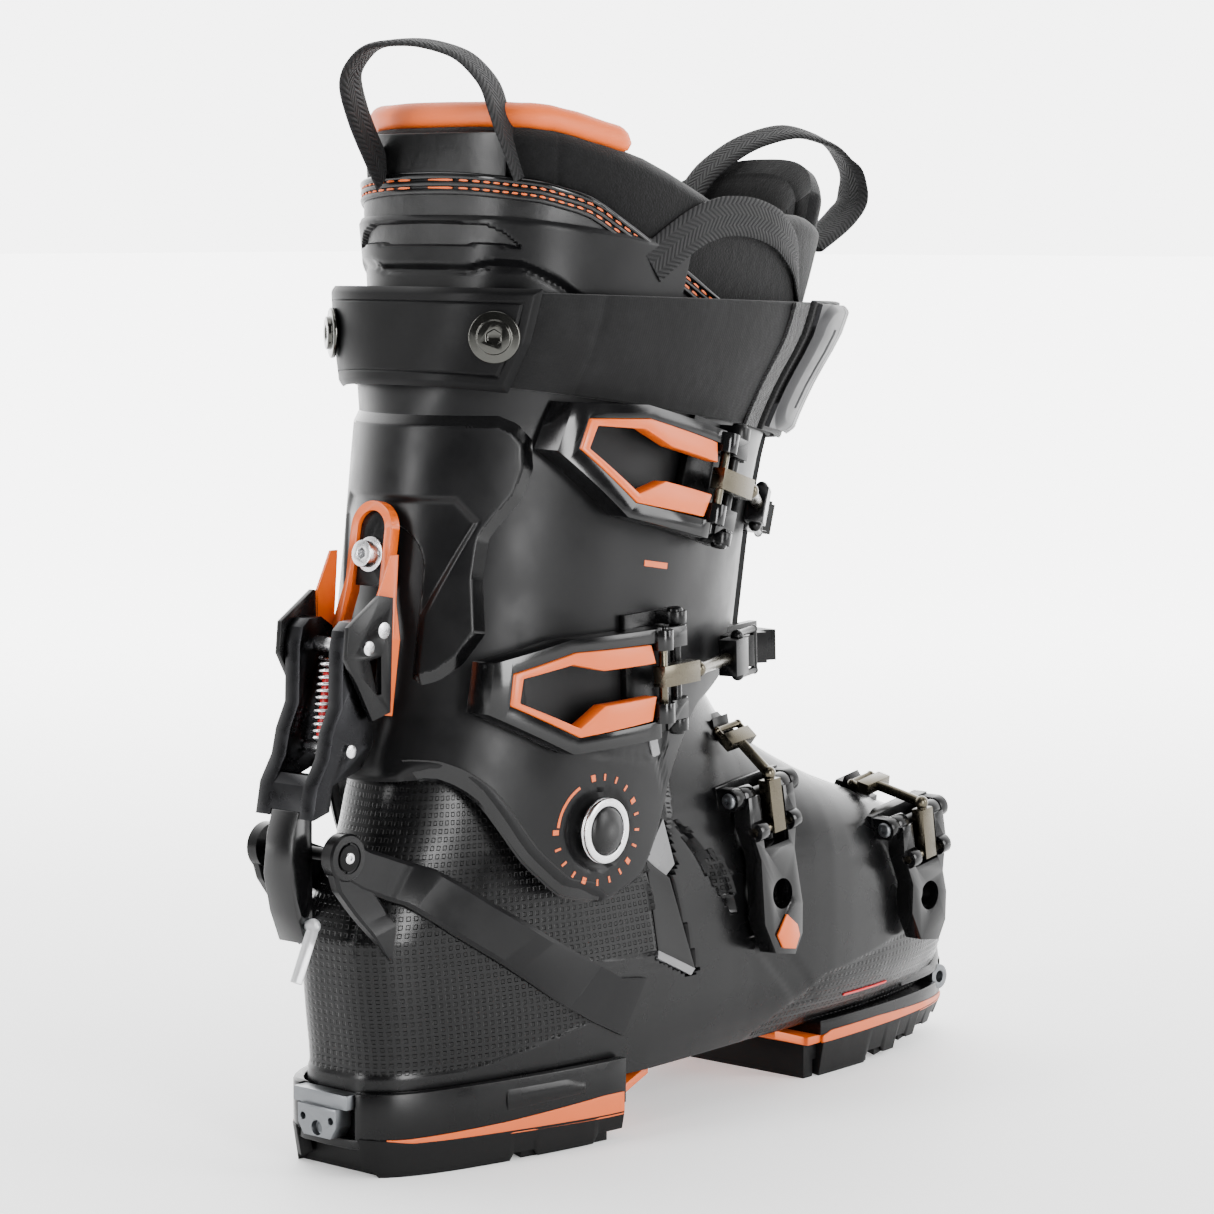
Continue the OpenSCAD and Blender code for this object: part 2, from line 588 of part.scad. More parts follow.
// ---- buckles ------------------------------------------------------------------------------------

// Each buckle: hinge point, tilt of its frame about Y, turn about its own hinge, angle of its bail's elbow.
// In a buckle's frame +X runs to the lever's tip, +Y points away from the boot, Z is the hinge axis.
upper = [[128, -60.2, 214], 16, 5, 28];
lower = [[104, -57.8, 155.5], -2, 1, 15];
instep = [[159, -48.8, 109], -97, 3, 46];
toe_b = [[245, -49.4, 89], -99, 0, 77];
module at_buckle(b) { translate(b[0]) rotate([0, b[1], 0]) rotate([0, 0, 180 + b[2]]) children(); }
hinge_r = 1.8;
bail_pin = [12, 4.6];
bail_pin_r = 1.5;
module pin_z(x, y, r, half_len) { translate([x, y, -half_len]) cylinder(r = r, h = 2 * half_len); }

cuff_lever_outline = [[0, 15], [12, 15.5], [48, 15.5], [71, 10], [73, -6], [48, -21], [14, -20], [6, -15],
    [0, -15]];
lever_window = [[8, 11], [47, 11.5], [66, 6.5], [67.2, -3.8], [46, -16], [8, -14]];
// The long lever bends round the leg: a wall between two arcs
bend_r = 112;
bend_at = 6;
module bent_wall(inner_gap, thick, tall) {
    intersection() {
        translate([bend_at, -bend_r, 0]) difference() {
            cylinder(r = bend_r + inner_gap + thick, h = tall, center = true, $fn = 96);
            cylinder(r = bend_r + inner_gap, h = tall + 2, center = true, $fn = 96);
        }
        translate([bend_at, -40, -tall]) cube([100, 80, 2 * tall]);
    }
    translate([0, inner_gap, -tall / 2]) cube([bend_at + 0.01, thick, tall]);
}
module face_outline(outline, tall) {
    rotate([90, 0, 0]) linear_extrude(tall, center = true) polygon(outline);
}
module cuff_lever() {
    difference() {
        union() {
            difference() {
                intersection() { bent_wall(-2.6, 7.6, 50); face_outline(cuff_lever_outline, 90); }
                face_outline(lever_window, 90);
                translate([-20, -20, -8.6]) cube([29, 40, 17.2]);
            }
            for (side = [-1, 1], at = [[0, 0], bail_pin])
                translate([at[0], at[1], side * 11.8]) cylinder(r = 3.6, h = 6.4, center = true);
        }
        pin_z(0, 0, hinge_r + fit, 30);
        pin_z(bail_pin[0], bail_pin[1], bail_pin_r + fit, 30);
    }
}
insert_outline = [[18, 10.8], [46.7, 11.3], [65.8, 6.3], [67, -3.7], [46, -15.8], [18, -13.8], [16, -6],
    [37, -6.6], [46, -12.8], [64.6, -3], [63.4, 4.6], [48, 7.6], [37, 4.6], [16, 4.6]];
module cuff_insert() {
    intersection() {
        bent_wall(0.4, 5.2, 50);
        face_outline(insert_outline, 90);
    }
}
// A bail leaves its pin flat, passes over the hinge, then turns inward at an elbow
elbow_x = -6;
module past_elbow(lean) { translate([elbow_x, bail_pin[1], 0]) rotate([0, 0, lean]) children(); }
module rod_back(x, length, r) { translate([x, 0, 0]) rotate([0, -90, 0]) cylinder(r = r, h = length); }
bail_len = 46;
module cuff_bail(lean) {
    pin_z(bail_pin[0], bail_pin[1], bail_pin_r, 11);
    translate([-4, bail_pin[1] - 2.4, -3.4]) cube([18, 4.8, 6.8]);
    translate([0, bail_pin[1], 0]) rod_back(-3, 3, 2);
    past_elbow(lean) {
        sphere(r = 2.6);
        rod_back(0, 26, 2);
    }
}
wire_r = 1.15;
module cuff_hook(lean) {
    past_elbow(lean) {
        difference() {
            translate([-34, -3.2, -6]) cube([10, 6.4, 12]);
            rod_back(-23, 4, 2);
        }
        for (side = [-1, 1]) {
            translate([0, 0, side * 7]) rod_back(-32, bail_len - 32, wire_r);
            translate([-32, 0, side * 6.4]) sphere(r = 2.2);
            translate([-bail_len, 0, side * 7]) sphere(r = 1.4);
        }
        translate([-bail_len, 0, -7]) cylinder(r = wire_r, h = 14);
    }
}
module buckle_base(wide, depth) {
    translate([-4.4, -depth, -wide - 4.4]) cube([23, depth - 5.3, 2 * wide + 8.8]);
    for (side = [-1, 1]) translate([0, 0, side * (wide + 2.3)]) {
        cylinder(r = 3.8, h = 4, center = true);
        translate([-3.8, -5.6, -2]) cube([7.6, 5.6, 4]);
    }
    pin_z(0, 0, hinge_r, wide + 4.2);
}
module cuff_buckle_bases() {
    at_heel_frame() color(black) difference() {
        for (b = [upper, lower]) at_buckle(b) buckle_base(15.2, 7.8);
        cuff_core();
    }
}
// Toothed catch: a ridge along the bail with notches that open outward
module catch_ladder(lean) {
    past_elbow(lean) translate([-bail_len, 0, 0]) rotate([0, 0, -12]) {
        translate([0, 0, -5.2]) linear_extrude(10.4) polygon([[9, -11], [7, 0.6], [2, 1.6], [1.7, -1.9],
            [-1.8, -1.9], [-6, 1.2], [-6.2, -2.2], [-9.8, -2.4], [-13, 0], [-15, -11]]);
        translate([-17, -13.4, -7]) cube([28, 3, 14]);
    }
}
module cuff_catches() {
    at_heel_frame() color(black) difference() {
        for (b = [upper, lower]) at_buckle(b) catch_ladder(b[3]);
        cuff_core();
    }
}

module upper_lever() { at_heel_frame() color(black) at_buckle(upper) cuff_lever(); }
module lower_lever() { at_heel_frame() color(black) at_buckle(lower) cuff_lever(); }
module upper_insert() { at_heel_frame() color(orange) at_buckle(upper) cuff_insert(); }
module lower_insert() { at_heel_frame() color(orange) at_buckle(lower) cuff_insert(); }
module upper_bail() { at_heel_frame() color(bronze) at_buckle(upper) cuff_bail(upper[3]); }
module lower_bail() { at_heel_frame() color(bronze) at_buckle(lower) cuff_bail(lower[3]); }
module upper_hook() { at_heel_frame() color(bronze) at_buckle(upper) cuff_hook(upper[3]); }
module lower_hook() { at_heel_frame() color(bronze) at_buckle(lower) cuff_hook(lower[3]); }

// Forefoot buckles are shorter Y-shaped frames that stand down the side of the foot
function foot_outline(len) = [[0, 12], [10, 12.5], [22, 9], [len - 14, 11], [len - 3, 7], [len, -3],
    [len - 6, -8], [len - 16, -10], [22, -9], [10, -12.5], [0, -12]];
module foot_lever(len) {
    difference() {
        union() {
            difference() {
                translate([0, 1.2, 0]) face_outline(foot_outline(len), 7);
                translate([-20, -20, -6.6]) cube([27 + len * 0.2, 40, 13.2]);
                translate([len * 0.62, 0, 0]) rotate([90, 0, 0]) cylinder(r = 5.2, h = 40, center = true);
            }
            for (side = [-1, 1]) {
                translate([bail_pin[0], bail_pin[1], side * 8.8]) cylinder(r = 3.4, h = 4.2, center = true);
                translate([0, 0, side * 9.3]) cylinder(r = 3.6, h = 5.4, center = true);
            }
        }
        pin_z(0, 0, hinge_r + fit, 30);
        pin_z(bail_pin[0], bail_pin[1], bail_pin_r + fit, 30);
    }
}
instep_len = 58;
toe_len = 46;
instep_bail_len = 22;
toe_bail_len = 27;
// Bail of a forefoot buckle, with the length beyond its elbow
module foot_bail(lean, len) {
    pin_z(bail_pin[0], bail_pin[1], bail_pin_r, 10.6);
    translate([-4, bail_pin[1] - 2.4, -3]) cube([18, 4.8, 6]);
    translate([0, bail_pin[1], 0]) rod_back(-3, 3, 1.8);
    past_elbow(lean) {
        sphere(r = 2.4);
        rod_back(0, len - 7, 1.8);
        translate([-len + 3, -2, -6.5]) cube([5, 4, 13]);
        for (side = [-1, 1]) {
            translate([0, 0, side * 5.6]) rod_back(-len + 4, 4, wire_r);
            translate([-len, 0, side * 5.6]) sphere(r = 1.4);
        }
        translate([-len, 0, -5.6]) cylinder(r = wire_r, h = 11.2);
    }
}
module instep_lever() { at_heel_frame() color(black) at_buckle(instep) foot_lever(instep_len); }
module toe_lever() { at_heel_frame() color(black) at_buckle(toe_b) foot_lever(toe_len); }
module instep_bail() {
    at_heel_frame() color(bronze) at_buckle(instep) foot_bail(instep[3], instep_bail_len);
}
module toe_bail() { at_heel_frame() color(bronze) at_buckle(toe_b) foot_bail(toe_b[3], toe_bail_len); }
module instep_badge() {
    at_heel_frame() color(orange) at_buckle(instep) translate([0, 5.2, 0])
        face_outline([[43, 0], [49, 6], [54, 4], [56, -2.6], [52, -5.6], [48, -5]], 1);
}
module forefoot_buckle_bases() {
    at_heel_frame() color(black) difference() {
        union() {
            at_buckle(instep) buckle_base(12.2, 7.6);
            at_buckle(toe_b) buckle_base(12.2, 11);
        }
        shell_core();
    }
}
module foot_catch(lean, len) {
    past_elbow(lean) translate([-len, 0, 0]) {
        translate([0, 0, -4]) linear_extrude(8)
            polygon([[1.9, -8], [1.8, -1.7], [-1.8, -1.7], [-4.6, 0.8], [-5, -1.6], [-8, -1.8], [-10, -8]]);
        translate([-12, -10, -7]) cube([15, 2.6, 14]);
    }
}
module forefoot_catches() {
    at_heel_frame() color(black) difference() {
        union() {
            at_buckle(instep) foot_catch(instep[3], instep_bail_len);
            at_buckle(toe_b) foot_catch(toe_b[3], toe_bail_len);
        }
        shell_core();
    }
}

lower_shell();
heel_block();
heel_sole_carrier();
heel_tread();
toe_block();
toe_sole_carrier();
toe_tread();
arch_pad();
heel_tech_insert();
toe_tech_inserts();
sole_screws();
heel_brace();
lock_bar();
pivot_pins();
pivot_rings();
pivot_caps();
forefoot_buckle_bases();
forefoot_catches();
liner_foot();
boot_board();
insole();
cuff_shell();
backbone();
spoiler();
strap_plate();
strap_rivets();
power_strap();
strap_velcro();
strap_end_tab();
cuff_buckle_bases();
cuff_catches();
liner_cuff();
tongue();
collar_roll();
rear_pull_loop();
front_pull_loops();
walk_bracket();
bracket_bolt();
walk_side_plates();
lever_arms();
lever_claw();
lever_pins();
lever_spring();
pull_tab();
upper_lever();
upper_insert();
upper_bail();
upper_hook();
lower_lever();
lower_insert();
lower_bail();
lower_hook();
instep_lever();
instep_badge();
instep_bail();
toe_lever();
toe_bail();
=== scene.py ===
import json
import math

import bmesh
import bpy
import numpy as np
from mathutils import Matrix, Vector


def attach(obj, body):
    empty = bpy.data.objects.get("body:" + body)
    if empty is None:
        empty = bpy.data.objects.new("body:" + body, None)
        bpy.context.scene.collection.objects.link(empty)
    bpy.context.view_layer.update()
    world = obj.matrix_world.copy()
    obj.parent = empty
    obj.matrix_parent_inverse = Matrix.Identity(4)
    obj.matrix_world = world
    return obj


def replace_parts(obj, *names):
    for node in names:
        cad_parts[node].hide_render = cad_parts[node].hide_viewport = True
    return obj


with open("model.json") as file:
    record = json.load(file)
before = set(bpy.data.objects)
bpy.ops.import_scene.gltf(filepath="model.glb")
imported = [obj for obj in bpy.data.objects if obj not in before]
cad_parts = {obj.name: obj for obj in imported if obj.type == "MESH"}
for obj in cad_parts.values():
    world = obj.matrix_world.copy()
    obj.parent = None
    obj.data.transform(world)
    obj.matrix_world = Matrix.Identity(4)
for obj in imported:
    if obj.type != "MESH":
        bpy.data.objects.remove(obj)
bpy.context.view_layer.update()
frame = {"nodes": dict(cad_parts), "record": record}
nodes = frame["nodes"]
node_body = {n: b for b, ns in frame["record"]["behaviour"]["bodies"].items() for n in ns}
MM = 0.001
ORIGIN_X = 40.0          # the row's origin lies this far ahead of the heel end, in mm
VIEW_TURN = 48.82        # degrees from a straight view of the outer side, round towards the heel
SIDES = ((-1, "outer"), (1, "inner"))
PIVOT = (75, 106)        # ankle pivot, X and Z in the heel frame
LOCK = (-7, 104)         # lock bar, X and Z in the heel frame
LINER_DEPTH = 6.6        # how far the liner lies inside the cuff's face
SOLE_LINE_Z = 24.0       # height of the shell section that the sole's side walls follow


# ---- materials

class Tree:
    """A small wrapper that adds shader nodes and links them."""

    def __init__(self, name, color, rough, metal=0.0, spec=0.5, sheen=0.0):
        self.mat = bpy.data.materials.new(name)
        self.mat.use_nodes = True
        self.t = self.mat.node_tree
        self.bsdf = self.t.nodes["Principled BSDF"]
        self.co = self.add("ShaderNodeTexCoord").outputs["Object"]
        self.height = None
        self.base, self.rough = color, rough
        for key, value in (("Metallic", metal), ("Specular IOR Level", spec), ("Sheen Weight", sheen)):
            self.bsdf.inputs[key].default_value = value
        self.bsdf.inputs["Base Color"].default_value = (*color, 1)
        self.bsdf.inputs["Roughness"].default_value = rough

    def add(self, kind, **props):
        n = self.t.nodes.new(kind)
        for key, value in props.items():
            setattr(n, key, value)
        return n

    def feed(self, value, socket):
        if isinstance(value, bpy.types.NodeSocket):
            self.t.links.new(value, socket)
        else:
            socket.default_value = value

    def math(self, op, *args):
        n = self.add("ShaderNodeMath", operation=op)
        for i, a in enumerate(args):
            self.feed(a, n.inputs[i])
        return n.outputs[0]

    def noise(self, scale, detail=3, stretch=None):
        n = self.add("ShaderNodeTexNoise")
        n.inputs["Scale"].default_value = scale
        n.inputs["Detail"].default_value = detail
        source = self.co
        if stretch:
            m = self.add("ShaderNodeMapping")
            self.feed(self.co, m.inputs["Vector"])
            m.inputs["Scale"].default_value = stretch
            source = m.outputs["Vector"]
        self.feed(source, n.inputs["Vector"])
        return n.outputs["Fac"]

    def span(self, value, a, b, c=0.0, d=1.0):
        n = self.add("ShaderNodeMapRange", interpolation_type="SMOOTHSTEP")
        for i, v in enumerate((value, a, b, c, d)):
            self.feed(v, n.inputs[i])
        return n.outputs["Result"]

    def attribute(self, name):
        return self.add("ShaderNodeAttribute", attribute_name=name).outputs["Fac"]

    def axes(self, source=None):
        n = self.add("ShaderNodeSeparateXYZ")
        self.feed(source or self.co, n.inputs[0])
        return n.outputs

    def uv(self):
        return self.axes(self.add("ShaderNodeTexCoord").outputs["UV"])

    def raise_by(self, height, mm):
        """Adds a relief of height (0 to 1) times mm to the surface."""
        part = self.math("MULTIPLY", height, mm * MM)
        self.height = part if self.height is None else self.math("ADD", self.height, part)

    def wear(self, amount=0.08, scale=60):
        """Roughness drifts slowly over the surface, as handled plastic does."""
        drift = self.span(self.noise(scale, 4), 0.3, 0.7, self.rough - amount, self.rough + amount)
        self.feed(drift, self.bsdf.inputs["Roughness"])

    def tint(self, factor, color):
        n = self.add("ShaderNodeMix", data_type="RGBA")
        self.feed(factor, n.inputs["Factor"])
        link = self.bsdf.inputs["Base Color"].links
        self.feed(link[0].from_socket if link else (*self.base, 1), n.inputs[6])
        n.inputs[7].default_value = (*color, 1)
        self.feed(n.outputs[2], self.bsdf.inputs["Base Color"])

    def done(self):
        if self.height is not None:
            n = self.add("ShaderNodeBump")
            n.inputs["Distance"].default_value = 1.0
            n.inputs["Strength"].default_value = 1.0
            self.feed(self.height, n.inputs["Height"])
            self.feed(n.outputs["Normal"], self.bsdf.inputs["Normal"])
        return self.mat


def plastic(name, color, rough, grain=0.02, spec=0.5):
    t = Tree(name, color, rough, spec=spec)
    t.raise_by(t.noise(2600, 2), grain)
    t.wear(0.06)
    return t


def simple(name, color, rough, **k):
    return plastic(name, color, rough, **k).done()


def shell_plastic(name, color, rough, spec=0.5):
    """Satin plastic; where the attribute dimple is 1 it carries a grid of small square holes, tinted near
    black as painted shade.
    """
    t = plastic(name, color, rough, grain=0.012, spec=spec)
    pitch, depth = 2.6, 0.55

    def row(v):
        wave = t.math("PINGPONG", t.math("MULTIPLY", v, 1 / (pitch * MM)), 0.5)
        return t.span(wave, 0.2, 0.3)

    shaded_hole = t.math("MULTIPLY", t.math("MULTIPLY", row(t.attribute("along")), row(t.axes()[2])),
                  t.attribute("dimple"))
    t.raise_by(shaded_hole, -depth)
    # painted shade: the recessed holes are tinted near black
    t.tint(shaded_hole, (0.0006, 0.0006, 0.0006))
    return t.done()


def metal(name, color, rough, brushed=None):
    t = Tree(name, color, rough, metal=1.0)
    t.raise_by(t.noise(1800, 3, brushed), 0.01)
    t.wear(0.05, 200)
    return t.done()


def felt(name, color, pile=0.25, scale=1500, sheen=0.15):
    """Short fibres: a fine and a coarse relief, with darker patches between them."""
    t = Tree(name, color, 0.95, spec=0.12, sheen=sheen)
    t.raise_by(t.noise(scale, 6), pile)
    t.raise_by(t.noise(260, 3), pile)
    t.tint(t.span(t.noise(700, 4), 0.35, 0.7), tuple(c * 0.55 for c in color))
    return t.done()


def woven(name, color, rib_highlight):
    """Herringbone webbing: u runs along the strap and v across it, both in millimetres. The raised cords are
    tinted lighter as a painted highlight.
    """
    pitch, depth, chevron = 2.0, 0.35, 3.5
    t = Tree(name, color, 0.75, spec=0.25)
    u, v, _ = t.uv()
    fold = t.math("PINGPONG", v, chevron)
    cord = t.math("PINGPONG", t.math("DIVIDE", t.math("ADD", u, fold), pitch), 0.5)
    yarn = t.math("PINGPONG", t.math("DIVIDE", t.math("SUBTRACT", fold, u), 0.5), 0.5)
    rib = t.span(cord, 0.0, 0.45)
    t.raise_by(rib, depth)
    t.raise_by(yarn, depth * 0.25)
    t.raise_by(t.noise(2500, 3), 0.05)
    # painted highlight: the raised cords are tinted lighter than the rest of the webbing
    t.tint(rib, tuple(c * rib_highlight for c in color))
    return t.done()


BLACK = (0.0016, 0.0016, 0.0018)
ORANGE = (0.52, 0.078, 0.0)
M = {
    "shell": shell_plastic("shell_plastic", (0.0018, 0.0018, 0.002), 0.27, spec=0.22),
    "cuff": shell_plastic("cuff_plastic", (0.0034, 0.0034, 0.0037), 0.38, spec=0.17),
    "panel": simple("panel_plastic", (0.003, 0.003, 0.0033), 0.34, spec=0.17),
    "gloss": simple("gloss_plastic", (0.0022, 0.0022, 0.0024), 0.16, grain=0.003, spec=0.32),
    "trim": simple("trim_plastic", BLACK, 0.28, spec=0.2),
    "dull": simple("dull_plastic", (0.0018, 0.0018, 0.002), 0.45, grain=0.02, spec=0.1),
    "rubber": simple("rubber", (0.0026, 0.0026, 0.0027), 0.5, grain=0.05, spec=0.14),
    "orange": simple("orange_plastic", ORANGE, 0.38, grain=0.01),
    "red": simple("red_plastic", (0.55, 0.006, 0.01), 0.35),
    "board": simple("board_plastic", (0.03, 0.03, 0.032), 0.6),
    "tab": simple("tab_plastic", (0.018, 0.018, 0.0195), 0.45, grain=0.02, spec=0.3),
    "alloy": metal("black_alloy", (0.014, 0.014, 0.015), 0.3),
    # painted highlight: light grey stands for the lamps reflected in glossy black facets
    "painted_highlight_facet": simple("painted_highlight_facet", (0.12, 0.12, 0.123), 0.3, spec=0.6),
    "steel": metal("bright_steel", (0.62, 0.62, 0.63), 0.24, (1, 1, 9)),
    "forged": metal("forged_steel", (0.15, 0.157, 0.165), 0.36),
    "chrome": metal("dark_chrome", (0.06, 0.06, 0.055), 0.16),
    "bronze": metal("bronze_wire", (0.085, 0.075, 0.055), 0.26),
    "felt": felt("felt_black", (0.0024, 0.0024, 0.0026)),
    "fuzz": felt("hook_and_loop", (0.012, 0.012, 0.0125), pile=0.9, scale=1900, sheen=0.3),
    "webbing": woven("herringbone", (0.003, 0.003, 0.0032), rib_highlight=2.8),
    "orange_cloth": simple("orange_cloth", ORANGE, 0.55, grain=0.08),
}


def strap_cloth():
    t = Tree("strap_cloth", (0.003, 0.003, 0.0032), 0.8, spec=0.15, sheen=0.08)
    pitch = 0.9
    warp, weft = (t.math("PINGPONG", t.math("DIVIDE", t.uv()[i], pitch), 0.5) for i in (0, 1))
    weave = t.math("MULTIPLY", warp, weft)
    t.raise_by(weave, 0.22)
    t.raise_by(t.noise(300, 4), 0.25)
    t.tint(t.span(t.noise(90, 5), 0.45, 0.75), (0.005, 0.005, 0.0053))
    return t.done()


def ribbed_webbing():
    pitch, depth = 0.9, 0.3
    t = Tree("ribbed_webbing", (0.006, 0.006, 0.0062), 0.6, spec=0.35)
    t.raise_by(t.math("PINGPONG", t.math("DIVIDE", t.uv()[1], pitch), 0.5), depth)
    t.raise_by(t.noise(2000, 3), 0.06)
    return t.done()


def satin_cloth():
    t = Tree("satin_cloth", (0.002, 0.002, 0.0022), 0.36, spec=0.35)
    t.raise_by(t.noise(2400, 3), 0.05)
    t.raise_by(t.noise(70, 3), 0.5)
    t.wear(0.07, 40)
    return t.done()


def clear_rod():
    t = Tree("clear_cord", (0.78, 0.79, 0.8), 0.3)
    t.bsdf.inputs["Transmission Weight"].default_value = 0.75
    t.raise_by(t.noise(900, 2), 0.02)
    return t.done()


M["strap"] = strap_cloth()
M["ribs"] = ribbed_webbing()
M["satin"] = satin_cloth()
M["clear"] = clear_rod()


# ---- mesh helpers

def link(name, me):
    o = bpy.data.objects.new(name, me)
    bpy.context.scene.collection.objects.link(o)
    return o


def smooth(me, angle=35):
    me.polygons.foreach_set("use_smooth", [True] * len(me.polygons))
    me.set_sharp_from_angle(angle=math.radians(angle))


def finish_piece(o, body, mat, replaces=(), angle=35):
    o.data.materials.clear()
    o.data.materials.append(M[mat])
    smooth(o.data, angle)
    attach(o, body)
    if replaces:
        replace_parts(o, *replaces)
    return o


def solid(name, points, faces, body, mat, **k):
    """A mesh from points in heel-frame millimetres."""
    pts = (np.asarray(points, float) - (ORIGIN_X, 0, 0)) * MM
    me = bpy.data.meshes.new(name)
    me.from_pydata(pts.tolist(), [], [list(map(int, f)) for f in faces])
    bm = bmesh.new()
    bm.from_mesh(me)
    bmesh.ops.recalc_face_normals(bm, faces=bm.faces)
    bm.to_mesh(me)
    bm.free()
    return finish_piece(link(name, me), body, mat, **k)


def grid_faces(m, n, close_v=False):
    """Quads of a grid of m rows and n columns; close_v joins the last column to the first."""
    return [(i * n + j, i * n + (j + 1) % n, (i + 1) * n + (j + 1) % n, (i + 1) * n + j)
            for i in range(m - 1) for j in range(n if close_v else n - 1)]


def loft(name, grid, body, mat, **k):
    """A closed solid through a stack of rings, with both ends capped."""
    grid = np.asarray(grid, float)
    m, n = grid.shape[:2]
    ends = [range(n), range((m - 1) * n, m * n)]
    return solid(name, grid.reshape(-1, 3), grid_faces(m, n, close_v=True) + ends, body, mat, **k)


def set_uv(me, uv):
    layer = me.uv_layers.new(name="UVMap")
    index = np.zeros(len(me.loops), int)
    me.loops.foreach_get("vertex_index", index)
    layer.data.foreach_set("uv", uv.reshape(-1, 2)[index].astype(np.float32).ravel())


def apply_modifiers(o):
    bpy.context.view_layer.update()
    made = bpy.data.meshes.new_from_object(o.evaluated_get(bpy.context.evaluated_depsgraph_get()))
    old = o.data
    o.modifiers.clear()
    o.data = made
    made.name = old.name
    bpy.data.meshes.remove(old)


def surface(name, outer, thick, body, mat, close_v=False, rim=0.5, attrs=None, uv=None, **k):
    """A wall with the outer face given as a grid of points; thick is how far it reaches inward, in mm."""
    away = outer - (100, 0, 0)
    if (normals(outer, close_v)[..., :2] * away[..., :2]).sum() > 0:
        outer, uv = outer[::-1], None if uv is None else uv[::-1]
        attrs = {key: v[::-1] for key, v in (attrs or {}).items()}
    m, n = outer.shape[:2]
    pts = (outer.reshape(-1, 3) - (ORIGIN_X, 0, 0)) * MM
    me = bpy.data.meshes.new(name)
    me.from_pydata(pts.tolist(), [], grid_faces(m, n, close_v))
    for key, values in (attrs or {}).items():
        data = me.attributes.new(key, "FLOAT", "POINT").data
        data.foreach_set("value", values.reshape(-1).astype(np.float32))
    if uv is not None:
        set_uv(me, uv)
    o = link(name, me)
    s = o.modifiers.new("wall", "SOLIDIFY")
    s.thickness, s.offset, s.use_even_offset = thick * MM, -1.0, False
    if rim:
        b = o.modifiers.new("rim", "BEVEL")
        b.width, b.segments, b.limit_method, b.angle_limit = rim * MM, 3, "ANGLE", math.radians(50)
    apply_modifiers(o)
    return finish_piece(o, body, mat, **k)


def polished(node, mat):
    """A copy of a CAD node with its edges rounded, which stands for the node."""
    me = nodes[node].data.copy()
    bm = bmesh.new()
    bm.from_mesh(me)
    bmesh.ops.remove_doubles(bm, verts=bm.verts, dist=2e-6)
    bmesh.ops.dissolve_limit(bm, angle_limit=math.radians(1.2), verts=bm.verts, edges=bm.edges)
    bm.to_mesh(me)
    bm.free()
    o = link(node + "_fine", me)
    b = o.modifiers.new("edge", "BEVEL")
    b.width, b.segments, b.limit_method, b.angle_limit = 0.35 * MM, 2, "ANGLE", math.radians(28)
    b.miter_outer = "MITER_ARC"
    apply_modifiers(o)
    return finish_piece(o, node_body[node], mat, replaces=[node])


# ---- profiles of the boot, in heel-frame millimetres

def look(t, pts):
    """Height over t of the line through [t, height] pairs."""
    p = np.asarray(pts, float)
    return np.interp(t, p[:, 0], p[:, 1])


def eased(t, pts, d):
    """The same line with its corners rounded over a distance d."""
    return (look(t - d, pts) + 2 * look(t, pts) + look(t + d, pts)) / 4


def sgn_pow(v, e):
    return np.sign(v) * np.abs(v) ** e


def step(a, b, v):
    """0 below a, 1 above b, smooth between them."""
    t = np.clip((v - a) / (b - a), 0, 1)
    return t * t * (3 - 2 * t)


SHELL_REAR = [[20, 4], [34, 5.5], [55, 3], [74, 1.5], [88, 6], [100, 14], [110, 18], [124, 22], [150, 27]]
SHELL_FRONT = [[20, 297], [45, 298], [60, 296], [72, 291], [82, 281], [90, 266], [97, 246], [105, 222],
               [116, 199], [130, 177], [145, 166], [165, 156]]
SOLE_HALF = [[0, 38], [40, 40], [78, 43], [120, 44], [160, 47], [200, 54], [232, 56], [262, 55],
             [285, 52], [298, 50]]
HEIGHT_GAIN = [[20, 0.93], [35, 0.98], [55, 1], [80, 1], [105, 0.99], [125, 0.93], [150, 0.86]]
TOE_SQUARE = [[20, 0.3], [60, 0.3], [80, 0.4], [100, 0.55], [125, 0.75], [165, 0.8]]
HEEL_SQUARE = [[20, 0.55], [80, 0.6], [100, 0.8], [165, 0.8]]
CENTRE = [[0, 0], [120, 0], [220, 3], [300, 5]]


def shell_point(a, z, inset=0.0):
    """a in degrees: 0 is the toe, 180 the heel, 270 the outer side."""
    r = np.radians(a)
    b, f = eased(z, SHELL_REAR, 4) + inset, eased(z, SHELL_FRONT, 4) - inset
    x = (b + f) / 2 + (f - b) / 2 * np.cos(r)
    under = 1 - 0.2 * np.clip((x - 110) / 90, 0, 1) * np.clip((42 - z) / 22, 0, 1) ** 2
    w = eased(x, SOLE_HALF, 10) * eased(z, HEIGHT_GAIN, 6) * under - inset
    heel = look(z, HEEL_SQUARE)
    square = heel + (look(z, TOE_SQUARE) - heel) * np.maximum(0, np.cos(r))
    return np.stack([x, w * sgn_pow(np.sin(r), square) + look(x, CENTRE), z + 0 * x], -1)


CUFF_REAR = [[85, 12], [122, 13], [145, 21], [197, 29], [226, 33], [242, 36], [262, 40], [285, 43],
             [302, 44], [336, 46]]
CUFF_FRONT = [[85, 171], [130, 171], [150, 174], [197, 182], [226, 190], [245, 201], [262, 214],
              [302, 228], [336, 238]]
CUFF_HALF = [[85, 51.5], [105, 51.5], [140, 51], [197, 51.5], [226, 53], [245, 55.5], [262, 59],
             [302, 63], [336, 63]]
CUFF_SQUARE = [[85, 0.9], [130, 1], [235, 1], [262, 0.68], [302, 0.5], [336, 0.5]]
CUFF_EDGE = [[13, 124], [25, 126], [34, 119], [47, 98], [60, 86], [78, 82], [95, 88], [104, 102],
             [110, 118], [124, 140], [150, 150], [174, 153]]


